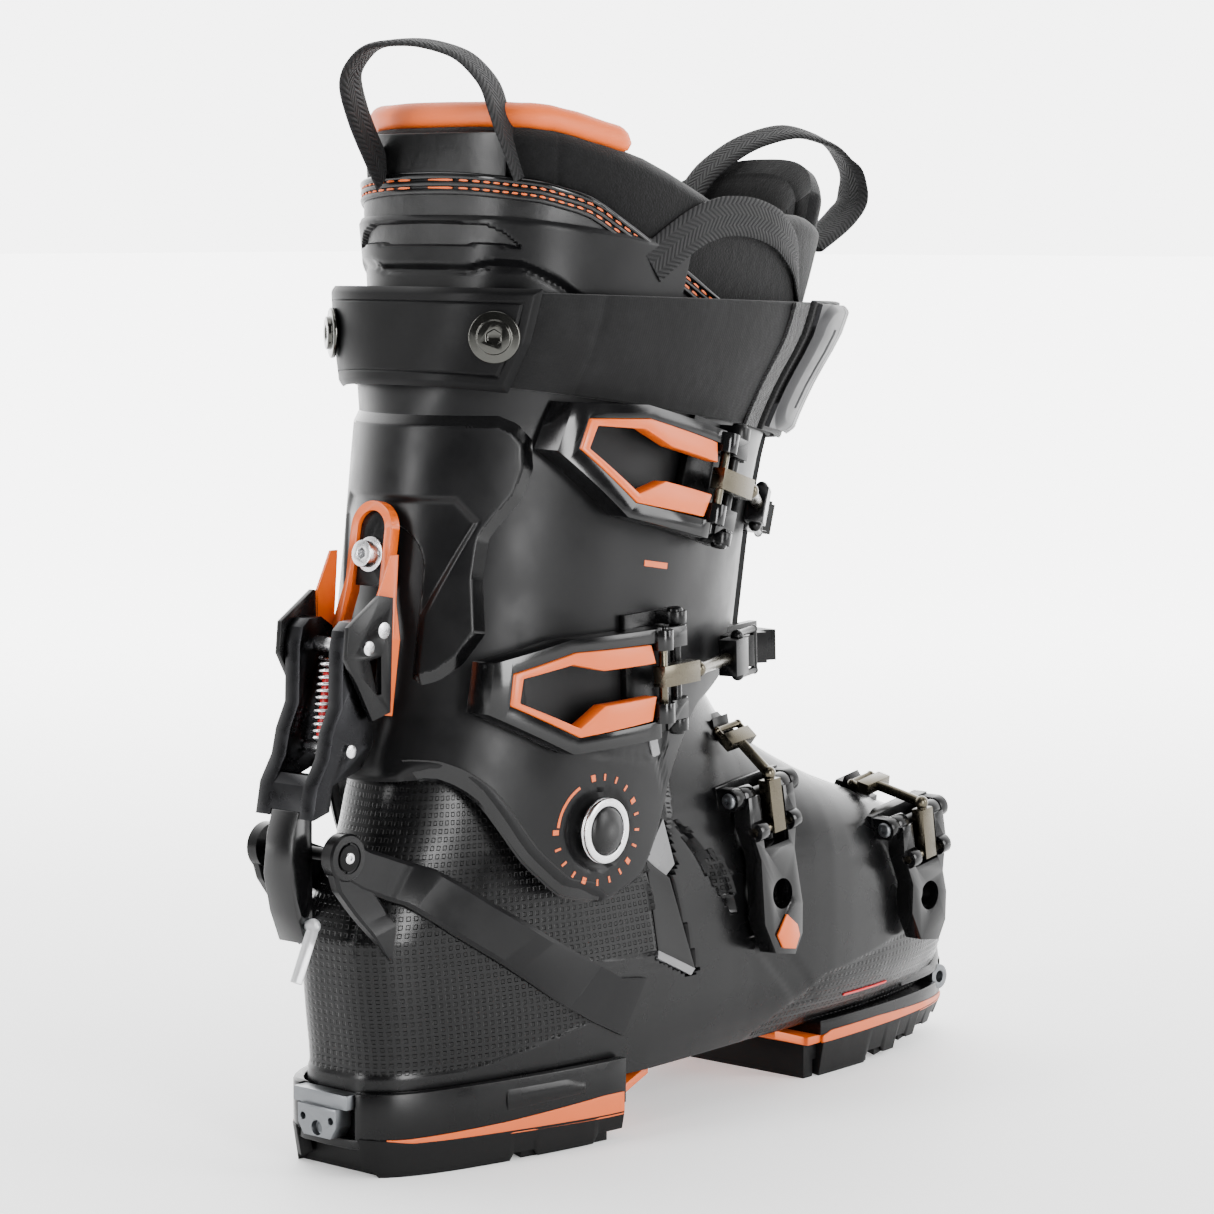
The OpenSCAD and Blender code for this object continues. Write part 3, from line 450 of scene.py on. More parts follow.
def cuff_point(a, z, out=0.0):
    """As shell_point; out is how far the point lies outside the cuff's face."""
    r = np.radians(a)
    b, f = eased(z, CUFF_REAR, 6) - out, eased(z, CUFF_FRONT, 6) + out
    w = eased(z, CUFF_HALF, 6) + out
    s = look(z, CUFF_SQUARE)
    square = s + (0.72 - s) * np.maximum(0, np.cos(r))
    x = (b + f) / 2 + (f - b) / 2 * np.cos(r)
    return np.stack([x, w * sgn_pow(np.sin(r), square) + 0 * x, z + 0 * x], -1)


def between(a, low, high, share):
    """Grids of the angle a and of the height at each share of the way from low to high."""
    low = low + 0 * a
    z = low[:, None] + (high - low)[:, None] * share
    return a[:, None] + 0 * z, z


def normals(p, close_v=False):
    """Unit normals of a grid of points."""
    du = np.gradient(p, axis=0)
    dv = (np.roll(p, -1, 1) - np.roll(p, 1, 1)) if close_v else np.gradient(p, axis=1)
    n = np.cross(du, dv)
    return n / np.maximum(np.linalg.norm(n, axis=-1, keepdims=True), 1e-9)


def to_segment(x, z, a, b):
    """Distance in the X Z plane to the segment from a to b."""
    dx, dz = b - a
    t = np.clip(((x - a[0]) * dx + (z - a[1]) * dz) / (dx * dx + dz * dz), 0, 1)
    return np.hypot(x - a[0] - t * dx, z - a[1] - t * dz)


def along_line(pts, x, z):
    """Signed distance in the X Z plane to an open line; positive on its right-hand side."""
    pts = np.asarray(pts, float)
    best, sign = np.full(x.shape, 1e9), np.ones(x.shape)
    for a, b in zip(pts[:-1], pts[1:]):
        d = to_segment(x, z, a, b)
        side = np.where((x - a[0]) * (b[1] - a[1]) - (z - a[1]) * (b[0] - a[0]) >= 0, 1.0, -1.0)
        sign = np.where(d < best - 1e-9, side, sign)
        best = np.minimum(best, d)
    return best * sign


def inside(pts, x, z):
    """Depth inside a closed outline in the X Z plane, negative outside."""
    pts = np.asarray(pts, float)
    hit, best = np.zeros(x.shape, bool), np.full(x.shape, 1e9)
    for a, b in zip(pts, np.roll(pts, -1, 0)):
        best = np.minimum(best, to_segment(x, z, a, b))
        dx, dz = b - a
        if dz:
            hit ^= ((a[1] > z) != (b[1] > z)) & (x < a[0] + (z - a[1]) * dx / dz)
    return np.where(hit, best, -best)


# ---- lower shell

def throat_z(a):
    """Height of the shell's upper edge."""
    return 134 + 18 * np.maximum(0, np.cos(np.radians(a))) ** 2


def paint(o, mat, test):
    """Gives another material to the faces whose centre (heel-frame mm) and normal pass the test."""
    me = o.data
    n = len(me.polygons)
    c, d = np.zeros(n * 3), np.zeros(n * 3)
    me.polygons.foreach_get("center", c)
    me.polygons.foreach_get("normal", d)
    hit = test(c.reshape(-1, 3) / MM + (ORIGIN_X, 0, 0), d.reshape(-1, 3))
    index = np.zeros(n, np.int32)
    me.polygons.foreach_get("material_index", index)
    me.materials.append(M[mat])
    index[hit] = len(me.materials) - 1
    me.polygons.foreach_set("material_index", index)


# Outlines of the shell's features seen from the side, as X and Z
HEEL_TEXTURE = [[-8, 31], [36, 31], [47, 33], [64, 36], [83, 40.5], [70, 50], [58, 58], [50, 70], [70, 60],
                [95, 59.5], [114.5, 58.5], [109, 90], [104, 108], [60, 125], [-8, 130]]
BRIGHT_FACET = [[115, 104], [120.5, 88], [118, 83.8], [109, 91]]
DARK_FACET = [[109, 90.6], [118, 83.8], [131, 51], [115, 58.6]]
STRIP_FACET = [[115, 59.6], [131, 51.4], [129, 49.2], [113, 57.4]]
SLOT = [[120, 103], [129, 91], [150, 66.5], [150, 71], [140, 84], [127, 99]]
WINDOW = [[136, 93], [141.5, 75], [150, 73.5], [148, 82]]
TOE_EDGE = [[184, 33], [196, 40.5], [222, 44], [244, 48], [262, 52], [271, 57], [280, 68], [284, 84],
            [286, 100]]
FOLD = [[160, 54], [183, 31]], [[173, 56], [194, 33]]


def shell_relief(p):
    """How far the shell's features lie inside the plain surface, and where it carries cells."""
    x, y, z = p[..., 0], p[..., 1], p[..., 2]
    texture = step(-0.4, 1.2, inside(HEEL_TEXTURE, x, z))
    sunk = (0.45 + 1.5 * np.exp(-((x - 112) / 22) ** 2) * step(95, 110, x + 0.3 * z)) * texture
    ledge = look(x, [[60, 60], [70, 59], [95, 58.5], [115, 57]])
    sunk += 0.5 * step(-5, 0, z - ledge) * (x > 58) * (x < 118) * (1 - texture)
    for facet in (BRIGHT_FACET, DARK_FACET, STRIP_FACET):
        sunk = np.where(inside(facet, x, z) > -0.2, 2.6, sunk)
    slot = inside(SLOT, x, z)
    sunk = np.where(slot > 0, 1.2 + 1.6 * step(0, 1.5, slot), sunk)
    window = step(0, 0.8, inside(WINDOW, x, z))
    sunk = np.where(window > 0, np.maximum(sunk, window), sunk)
    toe = along_line(TOE_EDGE, x, z)
    toe = np.where(x > 284, 5.0, toe) * (z < 96)
    zone = step(0, 2.0, toe)
    ribs = zone * (0.5 + 0.5 * np.cos(2 * np.pi * z / 2.3)) * step(29, 33, z)
    sunk += 0.35 * zone + 0.42 * ribs * (0.25 + 0.75 * step(250, 285, x))
    strip = step(-0.5, 0.8, -along_line(FOLD[0], x, z)) * step(-0.5, 0.8, along_line(FOLD[1], x, z))
    sunk += 0.35 * strip * (z < 58) * (z > 30) * (y < 60)
    cells = texture * (1 - (inside(DARK_FACET, x, z) > -0.5)) * (1 - (inside(BRIGHT_FACET, x, z) > -0.5))
    cells = np.maximum(cells, window)
    cells = np.maximum(cells, zone * 0.8 * (1 - step(262, 290, x)))
    return sunk, cells


def patch(name, corners, depths, side, mat, part="shell"):
    """A four-cornered facet; depths is how far each corner lies inside the shell or cuff, in mm."""
    c, d = np.asarray(corners, float), np.asarray(depths, float)
    s, t = np.meshgrid(np.linspace(0, 1, 14), np.linspace(0, 1, 14), indexing="ij")
    mix = np.stack([(1 - s) * (1 - t), s * (1 - t), s * t, (1 - s) * t], -1)
    x, z = (mix @ c)[..., 0], (mix @ c)[..., 1]
    flat = surface_at(c[:, 0], c[:, 1], side, 0.0, part)
    flat[:, 1] -= side * d
    curved = surface_at(x, z, side, 0.0, part)
    p = mix @ flat
    p[..., 1] = 0.7 * p[..., 1] + 0.3 * (curved[..., 1] - side * (mix @ d))
    surface(name, p, 1.2, part, mat, rim=0.2)


def lower_shell():
    """The shell's wall up to the throat, its facets and the floor under the boot board."""
    columns = 480
    a = np.arange(columns) * 360 / columns
    low = np.arange(20, 100.01, 0.62)
    high = np.linspace(0, 1, 46)[1:]
    z = np.concatenate([np.repeat(low[:, None], columns, 1),
                        100 + high[:, None] * (throat_z(a) - 100)[None]])
    p = shell_point(a[None] + 0 * z, z)
    sunk, cells = shell_relief(p)
    sunk = sunk + 1.3 * (1 - step(0, 2.4, (throat_z(a)[None] - z)))
    outer = shell_point(a[None] + 0 * z, z, sunk)
    level = shell_point(a, 60.0 + 0 * a)
    along = np.concatenate([[0], np.cumsum(np.linalg.norm(np.diff(level[:, :2], axis=0), axis=1))]) * MM
    surface("lower_shell_fine", outer, 4.0, "shell", "shell", close_v=True,
            attrs={"dimple": cells, "along": np.repeat(along[None], len(z), 0)},
            replaces=["lower_shell"], angle=24)
    for side, tag in SIDES:
        # painted highlight: the bright facet and the strip are light grey where the glossy black catches the
        # lamps; the dark facet keeps the plain gloss
        patch("facet_bright_" + tag, BRIGHT_FACET, (0.1, 0.1, 1.9, 1.9), side, "painted_highlight_facet")
        patch("facet_dark_" + tag, DARK_FACET, (1.9, 0.1, 0.1, 1.9), side, "gloss")
        patch("facet_strip_" + tag, STRIP_FACET, (1.9, 0.1, 0.05, 0.3), side, "painted_highlight_facet")
    floor = [shell_point(a[::4], level + 0 * a[::4], inset) for level, inset in ((20.4, 2.0), (23.6, 2.5))]
    loft("shell_floor", floor, "shell", "shell")


# ---- cuff

def cuff_low_z(a):
    return eased(cuff_point(a, 110.0)[..., 0], CUFF_EDGE, 3)


def cuff_top_z(a):
    return 268 - 10 * np.maximum(0, np.cos(np.radians(a))) ** 2


def flap_lift(a):
    return 4.3 * np.clip((-290 - a) / 30, 0, 1)


def surface_at(x, z, side, out, part):
    """The point of the cuff or the shell at x and z on one side (-1 outer, 1 inner)."""
    rear, front, pad = (CUFF_REAR, CUFF_FRONT, 6) if part == "cuff" else (SHELL_REAR, SHELL_FRONT, 4)
    b, f = eased(z, rear, pad), eased(z, front, pad)
    a = np.degrees(np.arccos(np.clip((x - (b + f) / 2) / ((f - b) / 2), -1, 1)))
    a = a if side > 0 else 360 - a
    return cuff_point(a, z, out) if part == "cuff" else shell_point(a, z, -out)


LOBE_TOP = [[52, 140], [57, 136.5], [64, 133.2], [84, 128.5], [102, 125.5], [106, 127]]
LOBE_CORNER = [[98.5, 135], [103.5, 132.5], [109.5, 117], [105.5, 115]]


def edge_distance(p, edge):
    """Distance of each grid point from the nearest point of an edge line."""
    q = p.reshape(-1, 3)
    best = np.full(len(q), 1e9)
    for e in edge:
        best = np.minimum(best, ((q - e) ** 2).sum(1))
    return np.sqrt(best).reshape(p.shape[:2])


def cuff_shell():
    """The cuff's wall, with a rolled lower edge, a step over the pivot lobe and a dish round the pivot."""
    a = np.linspace(20, -380, 441)
    t = np.concatenate([np.linspace(0, 0.16, 26), np.linspace(0.16, 1, 84)[1:]])
    low = cuff_low_z(a)
    aa, z = between(a, low, cuff_top_z(a), t)
    p = cuff_point(aa, z)
    x, y = p[..., 0], p[..., 1]
    gap = edge_distance(p, cuff_point(a, low))
    wide = 1.4 + 4.2 * (1 - step(66, 82, x)) * step(14, 20, np.abs(y))
    out = -1.9 * (1 - step(0, 1, gap / wide)) * (0.45 + 0.55 * (wide > 3))
    rise = -along_line(LOBE_TOP, x, z)
    out = out - 0.95 * step(0, 1.4, rise) * (1 - step(4, 34, rise)) * (x > 50) * (x < 108)
    corner = inside(LOBE_CORNER, x, z)
    out = out - 0.9 * step(0, 4, corner)
    out = out - 1.1 * (1 - step(12.2, 13.4, np.hypot(x - PIVOT[0], z - PIVOT[1])))
    cell = np.zeros_like(out)
    surface("cuff_fine", cuff_point(aa, z, flap_lift(a)[:, None] + out), 3.7, "cuff", "cuff",
            attrs={"dimple": cell, "along": cell}, replaces=["cuff_shell"], angle=30)
    for side, tag in SIDES:
        cuff_chamfer("cuff_chamfer_" + tag, side)
        # painted highlight: the lobe's corner facet is light grey in place of a reflection on black plastic
        patch("cuff_corner_" + tag, LOBE_CORNER, (0.2, 0.2, 1.2, 1.2), side, "painted_highlight_facet", "cuff")


def cuff_chamfer(name, side):
    """Glossy bevel along the rear lower edge of the cuff."""
    x = np.linspace(21, 79, 150)
    z = eased(x, CUFF_EDGE, 3)
    d = np.stack([np.gradient(x), np.gradient(z)], 1)
    n = np.stack([-d[:, 1], d[:, 0]], 1) / np.linalg.norm(d, axis=1)[:, None]
    for _ in range(6):
        n[1:-1] = (n[:-2] + n[1:-1] * 2 + n[2:]) / 4
        n /= np.linalg.norm(n, axis=1)[:, None]
    wide = 5.4 * step(82, 70, x) + 0.9
    rows = []
    for k, out in ((-0.12, -2.6), (0.05, -1.55), (0.35, -0.95), (0.7, -0.35), (0.97, 0.16), (1.0, -0.5)):
        rows.append(surface_at(x + n[:, 0] * wide * k, z + n[:, 1] * wide * k, side, out, "cuff"))
    surface(name, np.stack(rows, 1), 0.6, "cuff", "gloss", rim=0, angle=20)


BACKBONE_SPAN = [[152, 14], [154, 26], [160, 34], [170, 40], [188, 37.5], [200, 38], [212, 46], [222, 48],
                 [232, 46], [238, 40], [241, 32]]


def backbone():
    """The panel up the back of the cuff, with a raised rim, a hood and the lever's slot."""
    z = np.linspace(152.3, 240.7, 132)
    u = np.linspace(-1, 1, 161)
    span = eased(z, BACKBONE_SPAN, 1.2)
    aa = 180 - span[:, None] * u[None]
    zz = z[:, None] + 0 * aa
    p = cuff_point(aa, zz)
    rim = np.concatenate([p[:, 0], p[:, -1], p[0], p[-1]])
    gap = edge_distance(p, rim)
    out = 2.0 - 2.9 * (1 - np.clip(gap / 5.2, 0, 1))
    outline = [[-26, 214], [26, 214], [34, 206], [20, 176], [20, 140], [-20, 140], [-20, 176], [-34, 206]]
    hood = inside(outline, aa - 180, zz)
    out = out - 1.3 * step(0, 2.6, hood) * (gap > 1.0)
    y, half, top = p[..., 1], 15.5, 190
    slot = half - np.where(zz > top, np.hypot(y, zz - top), np.abs(y))
    out = np.where(slot > 0, np.minimum(out, 2.0 - 1.3 - 2.4 * step(0, 1.6, slot)), out)
    o = surface("backbone_fine", cuff_point(aa, zz, out), 1.2, "cuff", "panel", rim=0.25,
                replaces=["backbone"], angle=26)
    edges = np.concatenate([p[:, 0], p[:, -1], p[-1, ::3]])

    def near_rim(c, n):
        outward = n[:, 0] * (c[:, 0] - 90) + n[:, 1] * c[:, 1] > 0
        return (edge_distance(c[None], edges)[0] < 5.4) & outward

    paint(o, "gloss", near_rim)


# ---- pivots and prints

def ribbon(name, line, width, part, mat, side):
    """A thin raised print that follows a line of X and Z points on the cuff or the shell."""
    d = np.gradient(line, axis=0)
    n = np.stack([-d[:, 1], d[:, 0]], 1) / np.maximum(np.linalg.norm(d, axis=1), 1e-6)[:, None]
    rows = [surface_at(*(line + n * width * k).T, side, 0.14, part) for k in (-0.5, -0.17, 0.17, 0.5)]
    surface(name, np.stack(rows[::side], 1), 0.35, part, mat, rim=0)


def pivot_prints():
    """A ring of plain ticks and an arc round each ankle pivot, in place of lettering."""
    def arc(r, a0, a1, n):
        t = np.radians(np.linspace(a0, a1, n))
        return np.stack([PIVOT[0] + r * np.cos(t), PIVOT[1] + r * np.sin(t)], 1)

    for side, tag in SIDES:
        ribbon("pivot_arc_" + tag, arc(16.2, 118, 172, 24), 0.9, "cuff", "orange", side)
        for i in range(17):
            start, turn = 100 - i * 17.5, 5.5 if i % 4 == 0 else 2.5
            ribbon(f"pivot_tick_{tag}_{i}", arc(17.0, start, start - turn, 4), 2.1, "cuff", "orange", side)


# ---- inner boot, strap and loops

def collar_z(a):
    return eased(np.abs(180 - a), [[0, 332], [30, 331], [60, 322], [90, 304], [120, 304], [140, 300]], 8)


def piping_z(a):
    """Height of the piping below the liner's fuzzy lip."""
    return eased(np.abs(180 - a), [[0, 314], [28, 311], [44, 306.5], [61, 294.5], [75, 284], [89, 273.5],
                                   [110, 262], [140, 250]], 4)


def liner_grid(a, z, out=0.0):
    return cuff_point(a, z, out - LINER_DEPTH)


def liner_cuff():
    """The liner's leg: padded lip, satin wall, piping, two rows of stitches and a patch at the back."""
    a = np.linspace(320, 40, 281)
    t = np.linspace(0, 1, 72)
    top = collar_z(a) - 1.5
    aa, z = between(a, 236, top, t)
    above = z - piping_z(aa)
    puff = 0.9 * np.sin(np.pi * np.clip(above / np.maximum(top[:, None] - piping_z(aa), 4), 0, 1)) ** 0.7
    roll = -3.0 * (1 - np.clip((top[:, None] - z) / 4.5, 0, 1)) ** 2
    seam = -0.6 * (np.exp(-((np.abs(aa - 180) - 33) / 1.1) ** 2)) * (above > 0)
    o = surface("liner_fine", liner_grid(aa, z, puff + roll + seam - 0.3), 6.0, "cuff", "felt", rim=2.4,
                replaces=["liner_cuff"], angle=60)

    wall_t = np.linspace(0, 1, 34)
    line = piping_z(a)
    wa, wz = between(a, 240, line, wall_t)
    hollow = np.sin(np.pi * wall_t[None]) * np.exp(-((np.abs(180 - wa) - 62) / 22) ** 2)
    surface("liner_wall", liner_grid(wa, wz, 0.9 - hollow), 1.2, "cuff", "satin", rim=0)
    for k, (rise, r) in enumerate(((0.6, 1.3), (-1.9, 1.0), (-4.4, 1.0))):
        ring = np.linspace(0, 2 * np.pi, 13)[:-1]
        c = liner_grid(a, line + rise, 1.0)
        out = cuff_point(a, line, 1.0) - cuff_point(a, line, 0.0)
        up = np.array([0, 0, 1.0])
        grid = c[:, None] + r * (np.cos(ring)[:, None] * out[:, None] + np.sin(ring)[:, None] * up)
        loft(f"liner_piping_{k}", grid, "cuff", "satin" if k else "gloss")
    for k, rise in enumerate((-0.7, -3.2)):
        pts, faces = [], []
        for i in range(86):
            s0 = 310 - i * 3.05
            s = np.linspace(s0, s0 - 1.9, 4)
            z0 = piping_z(s) + rise
            lo, hi = liner_grid(s, z0 - 0.33, 1.75), liner_grid(s, z0 + 0.33, 1.75)
            inner = liner_grid(s, z0, 1.2)
            for dip in ((0.35, 0, 0, 0.35), (0.9,) * 4):
                pts += [q + (inner[j] - q) * dip[j] for j in range(4) for q in (lo[j], hi[j])]
            b = i * 16
            faces += [(b + 2 * j, b + 2 * j + 1, b + 2 * j + 3, b + 2 * j + 2) for j in range(3)]
            faces += [(b + 8 + 2 * j, b + 10 + 2 * j, b + 11 + 2 * j, b + 9 + 2 * j) for j in range(3)]
            for e in (0, 1):
                faces += [(q, q + 2, q + 10, q + 8) for q in range(b + e, b + e + 6, 2)]
            faces += [(b, b + 1, b + 9, b + 8), (b + 6, b + 7, b + 15, b + 14)]
        solid(f"liner_stitches_{k}", pts, faces, "cuff", "orange_cloth", angle=60)
    # smooth patch at the back of the lip
    pa = np.linspace(196, 166, 40)
    aa, z = between(pa, piping_z(pa) + 1.2, 328, np.linspace(0, 1, 14))
    surface("liner_patch", liner_grid(aa, z, 1.25), 0.8, "cuff", "satin", rim=0.3)


def collar_roll():
    """The orange padded roll over the back of the collar, with rounded ends."""
    a = np.linspace(236, 124, 90)
    ring = np.linspace(0, 2 * np.pi, 25)[:-1]
    c = cuff_point(a, collar_z(a) + 1.8, -9.8)
    yaw = np.arctan2(*(cuff_point(a, 320, 1)[:, i] - cuff_point(a, 320, 0)[:, i] for i in (1, 0)))
    end = np.minimum(a[0] - a, a - a[-1])
    r = 4.0 * np.sqrt(np.clip(1 - (1 - np.clip(end / 4.5, 0, 1)) ** 2, 0.01, 1))
    wave = 1 + 0.02 * np.sin(a / 2.3)[:, None]
    yaw = yaw[:, None]
    around = np.stack([np.cos(yaw) * np.cos(ring), np.sin(yaw) * np.cos(ring),
                       1.02 * np.sin(ring) + 0 * yaw], -1)
    grid = c[:, None] + (r[:, None] * wave)[..., None] * around
    o = loft("collar_roll_fine", grid, "cuff", "orange_cloth", replaces=["collar_roll"], angle=60)


def spoiler():
    """The rear spoiler, with a slot and a step that run round it."""
    a = np.linspace(256, 104, 220)
    top = 302 - 27 * np.cos(np.radians(a / 2)) ** 2
    turn = np.abs(180 - a)
    wave = eased(turn, [[0, 285.5], [8, 285], [14, 286.8], [25, 286.5], [38, 281], [45, 276], [76, 262]], 2)
    slot_hi = eased(turn, [[0, 300], [10, 299.4], [17, 296.8], [24, 292], [26, 290.8], [80, 280]], 1)
    slot_lo = eased(turn, [[0, 292.4], [5, 292.2], [12, 293.0], [25, 291.2], [26, 290.8], [80, 280]], 1)
    aa, z = between(a, 250, top, np.linspace(0, 1, 64))
    above = z - wave[:, None]
    in_slot = np.minimum(slot_hi[:, None] - z, z - slot_lo[:, None])
    out = -4.1 - (1 - step(0, 1.6, above)) - 2.0 * step(0, 0.7, in_slot)
    out = out - 0.5 * step(0, 0.8, np.minimum(-above, above + 2.2))
    out = out - 0.8 * (1 - step(0, 1.6, top[:, None] - z))
    surface("spoiler_fine", cuff_point(aa, z, out), 1.6, "cuff", "panel", replaces=["spoiler"], angle=30)


STRAP_OUT = 2.8          # how far the power strap lies outside the cuff's face
STRAP_FROM, STRAP_TO = 327, -30


def strap_mid(a):
    return 256 - 8 * np.cos(np.radians(a))


def strap_height(a):
    return 28 + 9 * (1 + np.cos(np.radians(a)))


def strap_lift(a):
    """The strap's end lies over its beginning."""
    return 4.3 * np.clip((80 - a) / 30, 0, 1)


def band(name, a0, a1, steps, out, thick, mat, extra=0.0, rows=24, shape=None, **k):
    """Part of the strap's band and its length; u and v of its UVs are in millimetres."""
    a = np.linspace(a0, a1, steps)
    half = strap_height(a) / 2 + extra
    v = np.linspace(-1, 1, rows)
    z = strap_mid(a)[:, None] + half[:, None] * v[None]
    aa = a[:, None] + 0 * z
    more = shape(aa, v[None] + 0 * z, half[:, None] + 0 * z) if shape else 0.0
    p = cuff_point(aa, z, out + strap_lift(aa) + more)
    length = np.concatenate([[0], np.cumsum(np.linalg.norm(np.diff(p[:, rows // 2], axis=0), axis=1))])
    uv = np.stack([length[:, None] + 0 * z, z - z[:, :1]], -1)
    return surface(name, p, thick, "cuff", mat, uv=uv, **k), length[-1]


def power_strap():
    """The strap as one pulled-tight sheet round the cuff."""
    def belly(a, v, _):
        drift = 0.25 * np.sin(a / 7.0 + 2 * v) + 0.2 * np.sin(a / 3.1)
        hem = 0.35 * np.exp(-((np.abs(v) - 0.9) / 0.05) ** 2)
        fold = 0.5 * np.exp(-((a - 232) / 1.2) ** 2)
        return 0.35 * (1 - v ** 2) + drift * 0.35 - hem - fold

    o, length = band("strap_fine", STRAP_FROM, STRAP_TO, 420, STRAP_OUT - 0.2, 1.9, "strap", shape=belly,
                     rim=0.7, replaces=["power_strap"], angle=60)


def strap_plate():
    """The rubber plate at the back, with a groove parallel to its edge."""
    def frame_line(a, v, half):
        edge = np.minimum(34 - np.abs(180 - a), (1 - np.abs(v)) * half)
        return -1.2 * (1 - np.clip(edge / 2.2, 0, 1)) ** 1.5 - 0.45 * step(0.0, 0.5, 0.5 - np.abs(edge - 4.6))

    band("strap_plate_fine", 214, 146, 200, STRAP_OUT + 3.0, 2.8, "dull", extra=1.5, rows=90,
         shape=frame_line, replaces=["strap_plate"], angle=40)


def strap_front():
    """Hook strip, ribbed webbing end and the grey tab that lies over it."""
    band("strap_fuzz", 306, 290, 40, STRAP_OUT + 1.3, 1.2, "fuzz", rim=0.3, replaces=["strap_velcro"])
    band("strap_ribbed_end", 327.8, 297, 60, STRAP_OUT + 3.4, 2.4, "ribs", extra=0.6, rim=0.6,
         replaces=["strap_end_tab"])

    def tab_shape(a, v, half):
        along, across, r = (a - 298) * 1.12, (1 - np.abs(v)) * half, 9
        corner = r - np.hypot(np.clip(r - along, 0, r), np.clip(r - across, 0, r))
        edge = np.where((along < r) & (across < r), corner, np.minimum(along, across))
        slot = np.minimum(1.3 - np.abs(along - 10.5), 13 - np.abs(v * half + 0.5))
        line = np.minimum(along - 15.6, 21.4 - along)
        box = np.minimum(line, 21 - np.abs(v * half))
        groove = step(0.0, 0.35, 0.35 - np.abs(box - 0.35))
        return (-2.2 * (1 - np.clip(edge / 2.6, 0, 1)) ** 1.6 - 1.9 * step(0, 0.3, slot) - 0.35 * groove)

    band("strap_tab", 321.5, 298, 150, STRAP_OUT + 7.2, 3.6, "tab", extra=-0.4, rows=170,
         shape=tab_shape, rim=0.4, angle=40)


def tape(name, path, across, wide, thick):
    """Webbing along a path in heel-frame mm, with rounded edges and UVs in mm."""
    path, across = np.asarray(path, float), np.asarray(across, float)
    fine = np.linspace(0, len(path) - 1, 8 * len(path))
    path = np.stack([np.interp(fine, range(len(path)), path[:, i]) for i in range(3)], 1)
    for _ in range(12):
        path[1:-1] = (path[:-2] + 2 * path[1:-1] + path[2:]) / 4
    d = np.gradient(path, axis=0)
    d /= np.linalg.norm(d, axis=1)[:, None]
    side = across - (d @ across)[:, None] * d
    side /= np.linalg.norm(side, axis=1)[:, None]
    face = np.cross(d, side)
    length = np.concatenate([[0], np.cumsum(np.linalg.norm(np.diff(path, axis=0), axis=1))])
    s = np.linspace(-1, 1, 15)
    w, h = wide / 2, thick / 2
    crown = h * (1 - 0.75 * np.abs(s) ** 6)
    loop = [(w * v, c) for v, c in zip(s, crown)] + [(w * v, -c) for v, c in zip(s[::-1], crown[::-1])]
    grid = np.stack([path + side * u + face * v for u, v in loop], 1)
    o = loft(name, grid, "cuff", "webbing", angle=60)
    from_edge = np.array([u + w for u, _ in loop])
    set_uv(o.data, np.stack([np.repeat(length, len(loop)), np.tile(from_edge, len(path))], 1))
    return o


def pull_loops():
    """One webbing loop at the back of the liner and two at the front."""
    rear = [(50, 20, 314), (38.4, 19, 331), (29.5, 16, 346), (32, 8, 355.5), (42, -4, 356.5),
            (49.7, -16, 352.5), (52.4, -25, 343), (52, -29, 333), (58.6, -33, 314)]
    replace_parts(tape("rear_loop_fine", rear, (0.95, 0.3, 0.1), 14, 2.2), "rear_pull_loop")
    low = [(96, -53.5, 286), (105, -55.6, 292.5), (115, -57.3, 298.5), (128, -58, 302), (143, -58.2, 301.5),
           (158, -57, 297.5), (172, -52.5, 289), (181, -46, 279), (185, -39, 268)]
    top = [(205, 24, 306), (212, 20, 318), (224, 12, 328), (238, 2, 333), (250, -7, 328), (255, -12, 318),
           (250, -17, 307), (236, -20, 299), (218, -21, 291)]
    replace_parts(tape("front_loop_low", low, (0, 0, 1), 13, 2.0), "front_pull_loops")
    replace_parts(tape("front_loop_top", top, (0.3, 0.9, 0.3), 14, 2.2), "front_pull_loops")


def tongue():
    """The padded tongue: a thick curved pad with rolled edges and a sewn channel near them."""
    half = 34
    a = np.linspace(half, -half, 70)
    top = 322 - 12 * (a / half) ** 2
    aa, z = between(a, 176, top, np.linspace(0, 1, 80))
    edge = np.minimum((half - np.abs(aa)) * 1.6, top[:, None] - z)
    roll = -5.0 * (1 - np.sqrt(np.clip(1 - (1 - np.clip(edge / 9, 0, 1)) ** 2, 0, 1)))
    valley = -1.1 * np.exp(-((edge - 14) / 2.2) ** 2)
    o = surface("tongue_fine", cuff_point(aa, z, -7.8 + roll + valley), 9.5, "cuff", "felt", rim=3.2,
                replaces=["tongue"], angle=70)


# ---- hard parts

HARD = {
    "gloss": "upper_lever lower_lever instep_lever toe_lever lever_claw",
    "trim": "heel_block toe_block forefoot_buckle_bases forefoot_catches cuff_buckle_bases "
            "cuff_catches walk_side_plates upper_hook lower_hook pivot_caps",
    "alloy": "lever_arms",
    "dull": "lock_bar",
    "rubber": "heel_tread toe_tread arch_pad",
    "orange": "toe_sole_carrier upper_insert lower_insert instep_badge walk_bracket",
    "forged": "heel_tech_insert toe_tech_inserts",
    "steel": "sole_screws pivot_pins pivot_rings lever_pins bracket_bolt",
    "chrome": "strap_rivets",
    "bronze": "upper_bail lower_bail instep_bail toe_bail",
    "board": "boot_board insole",
    "felt": "liner_foot",
    "clear": "pull_tab",
}


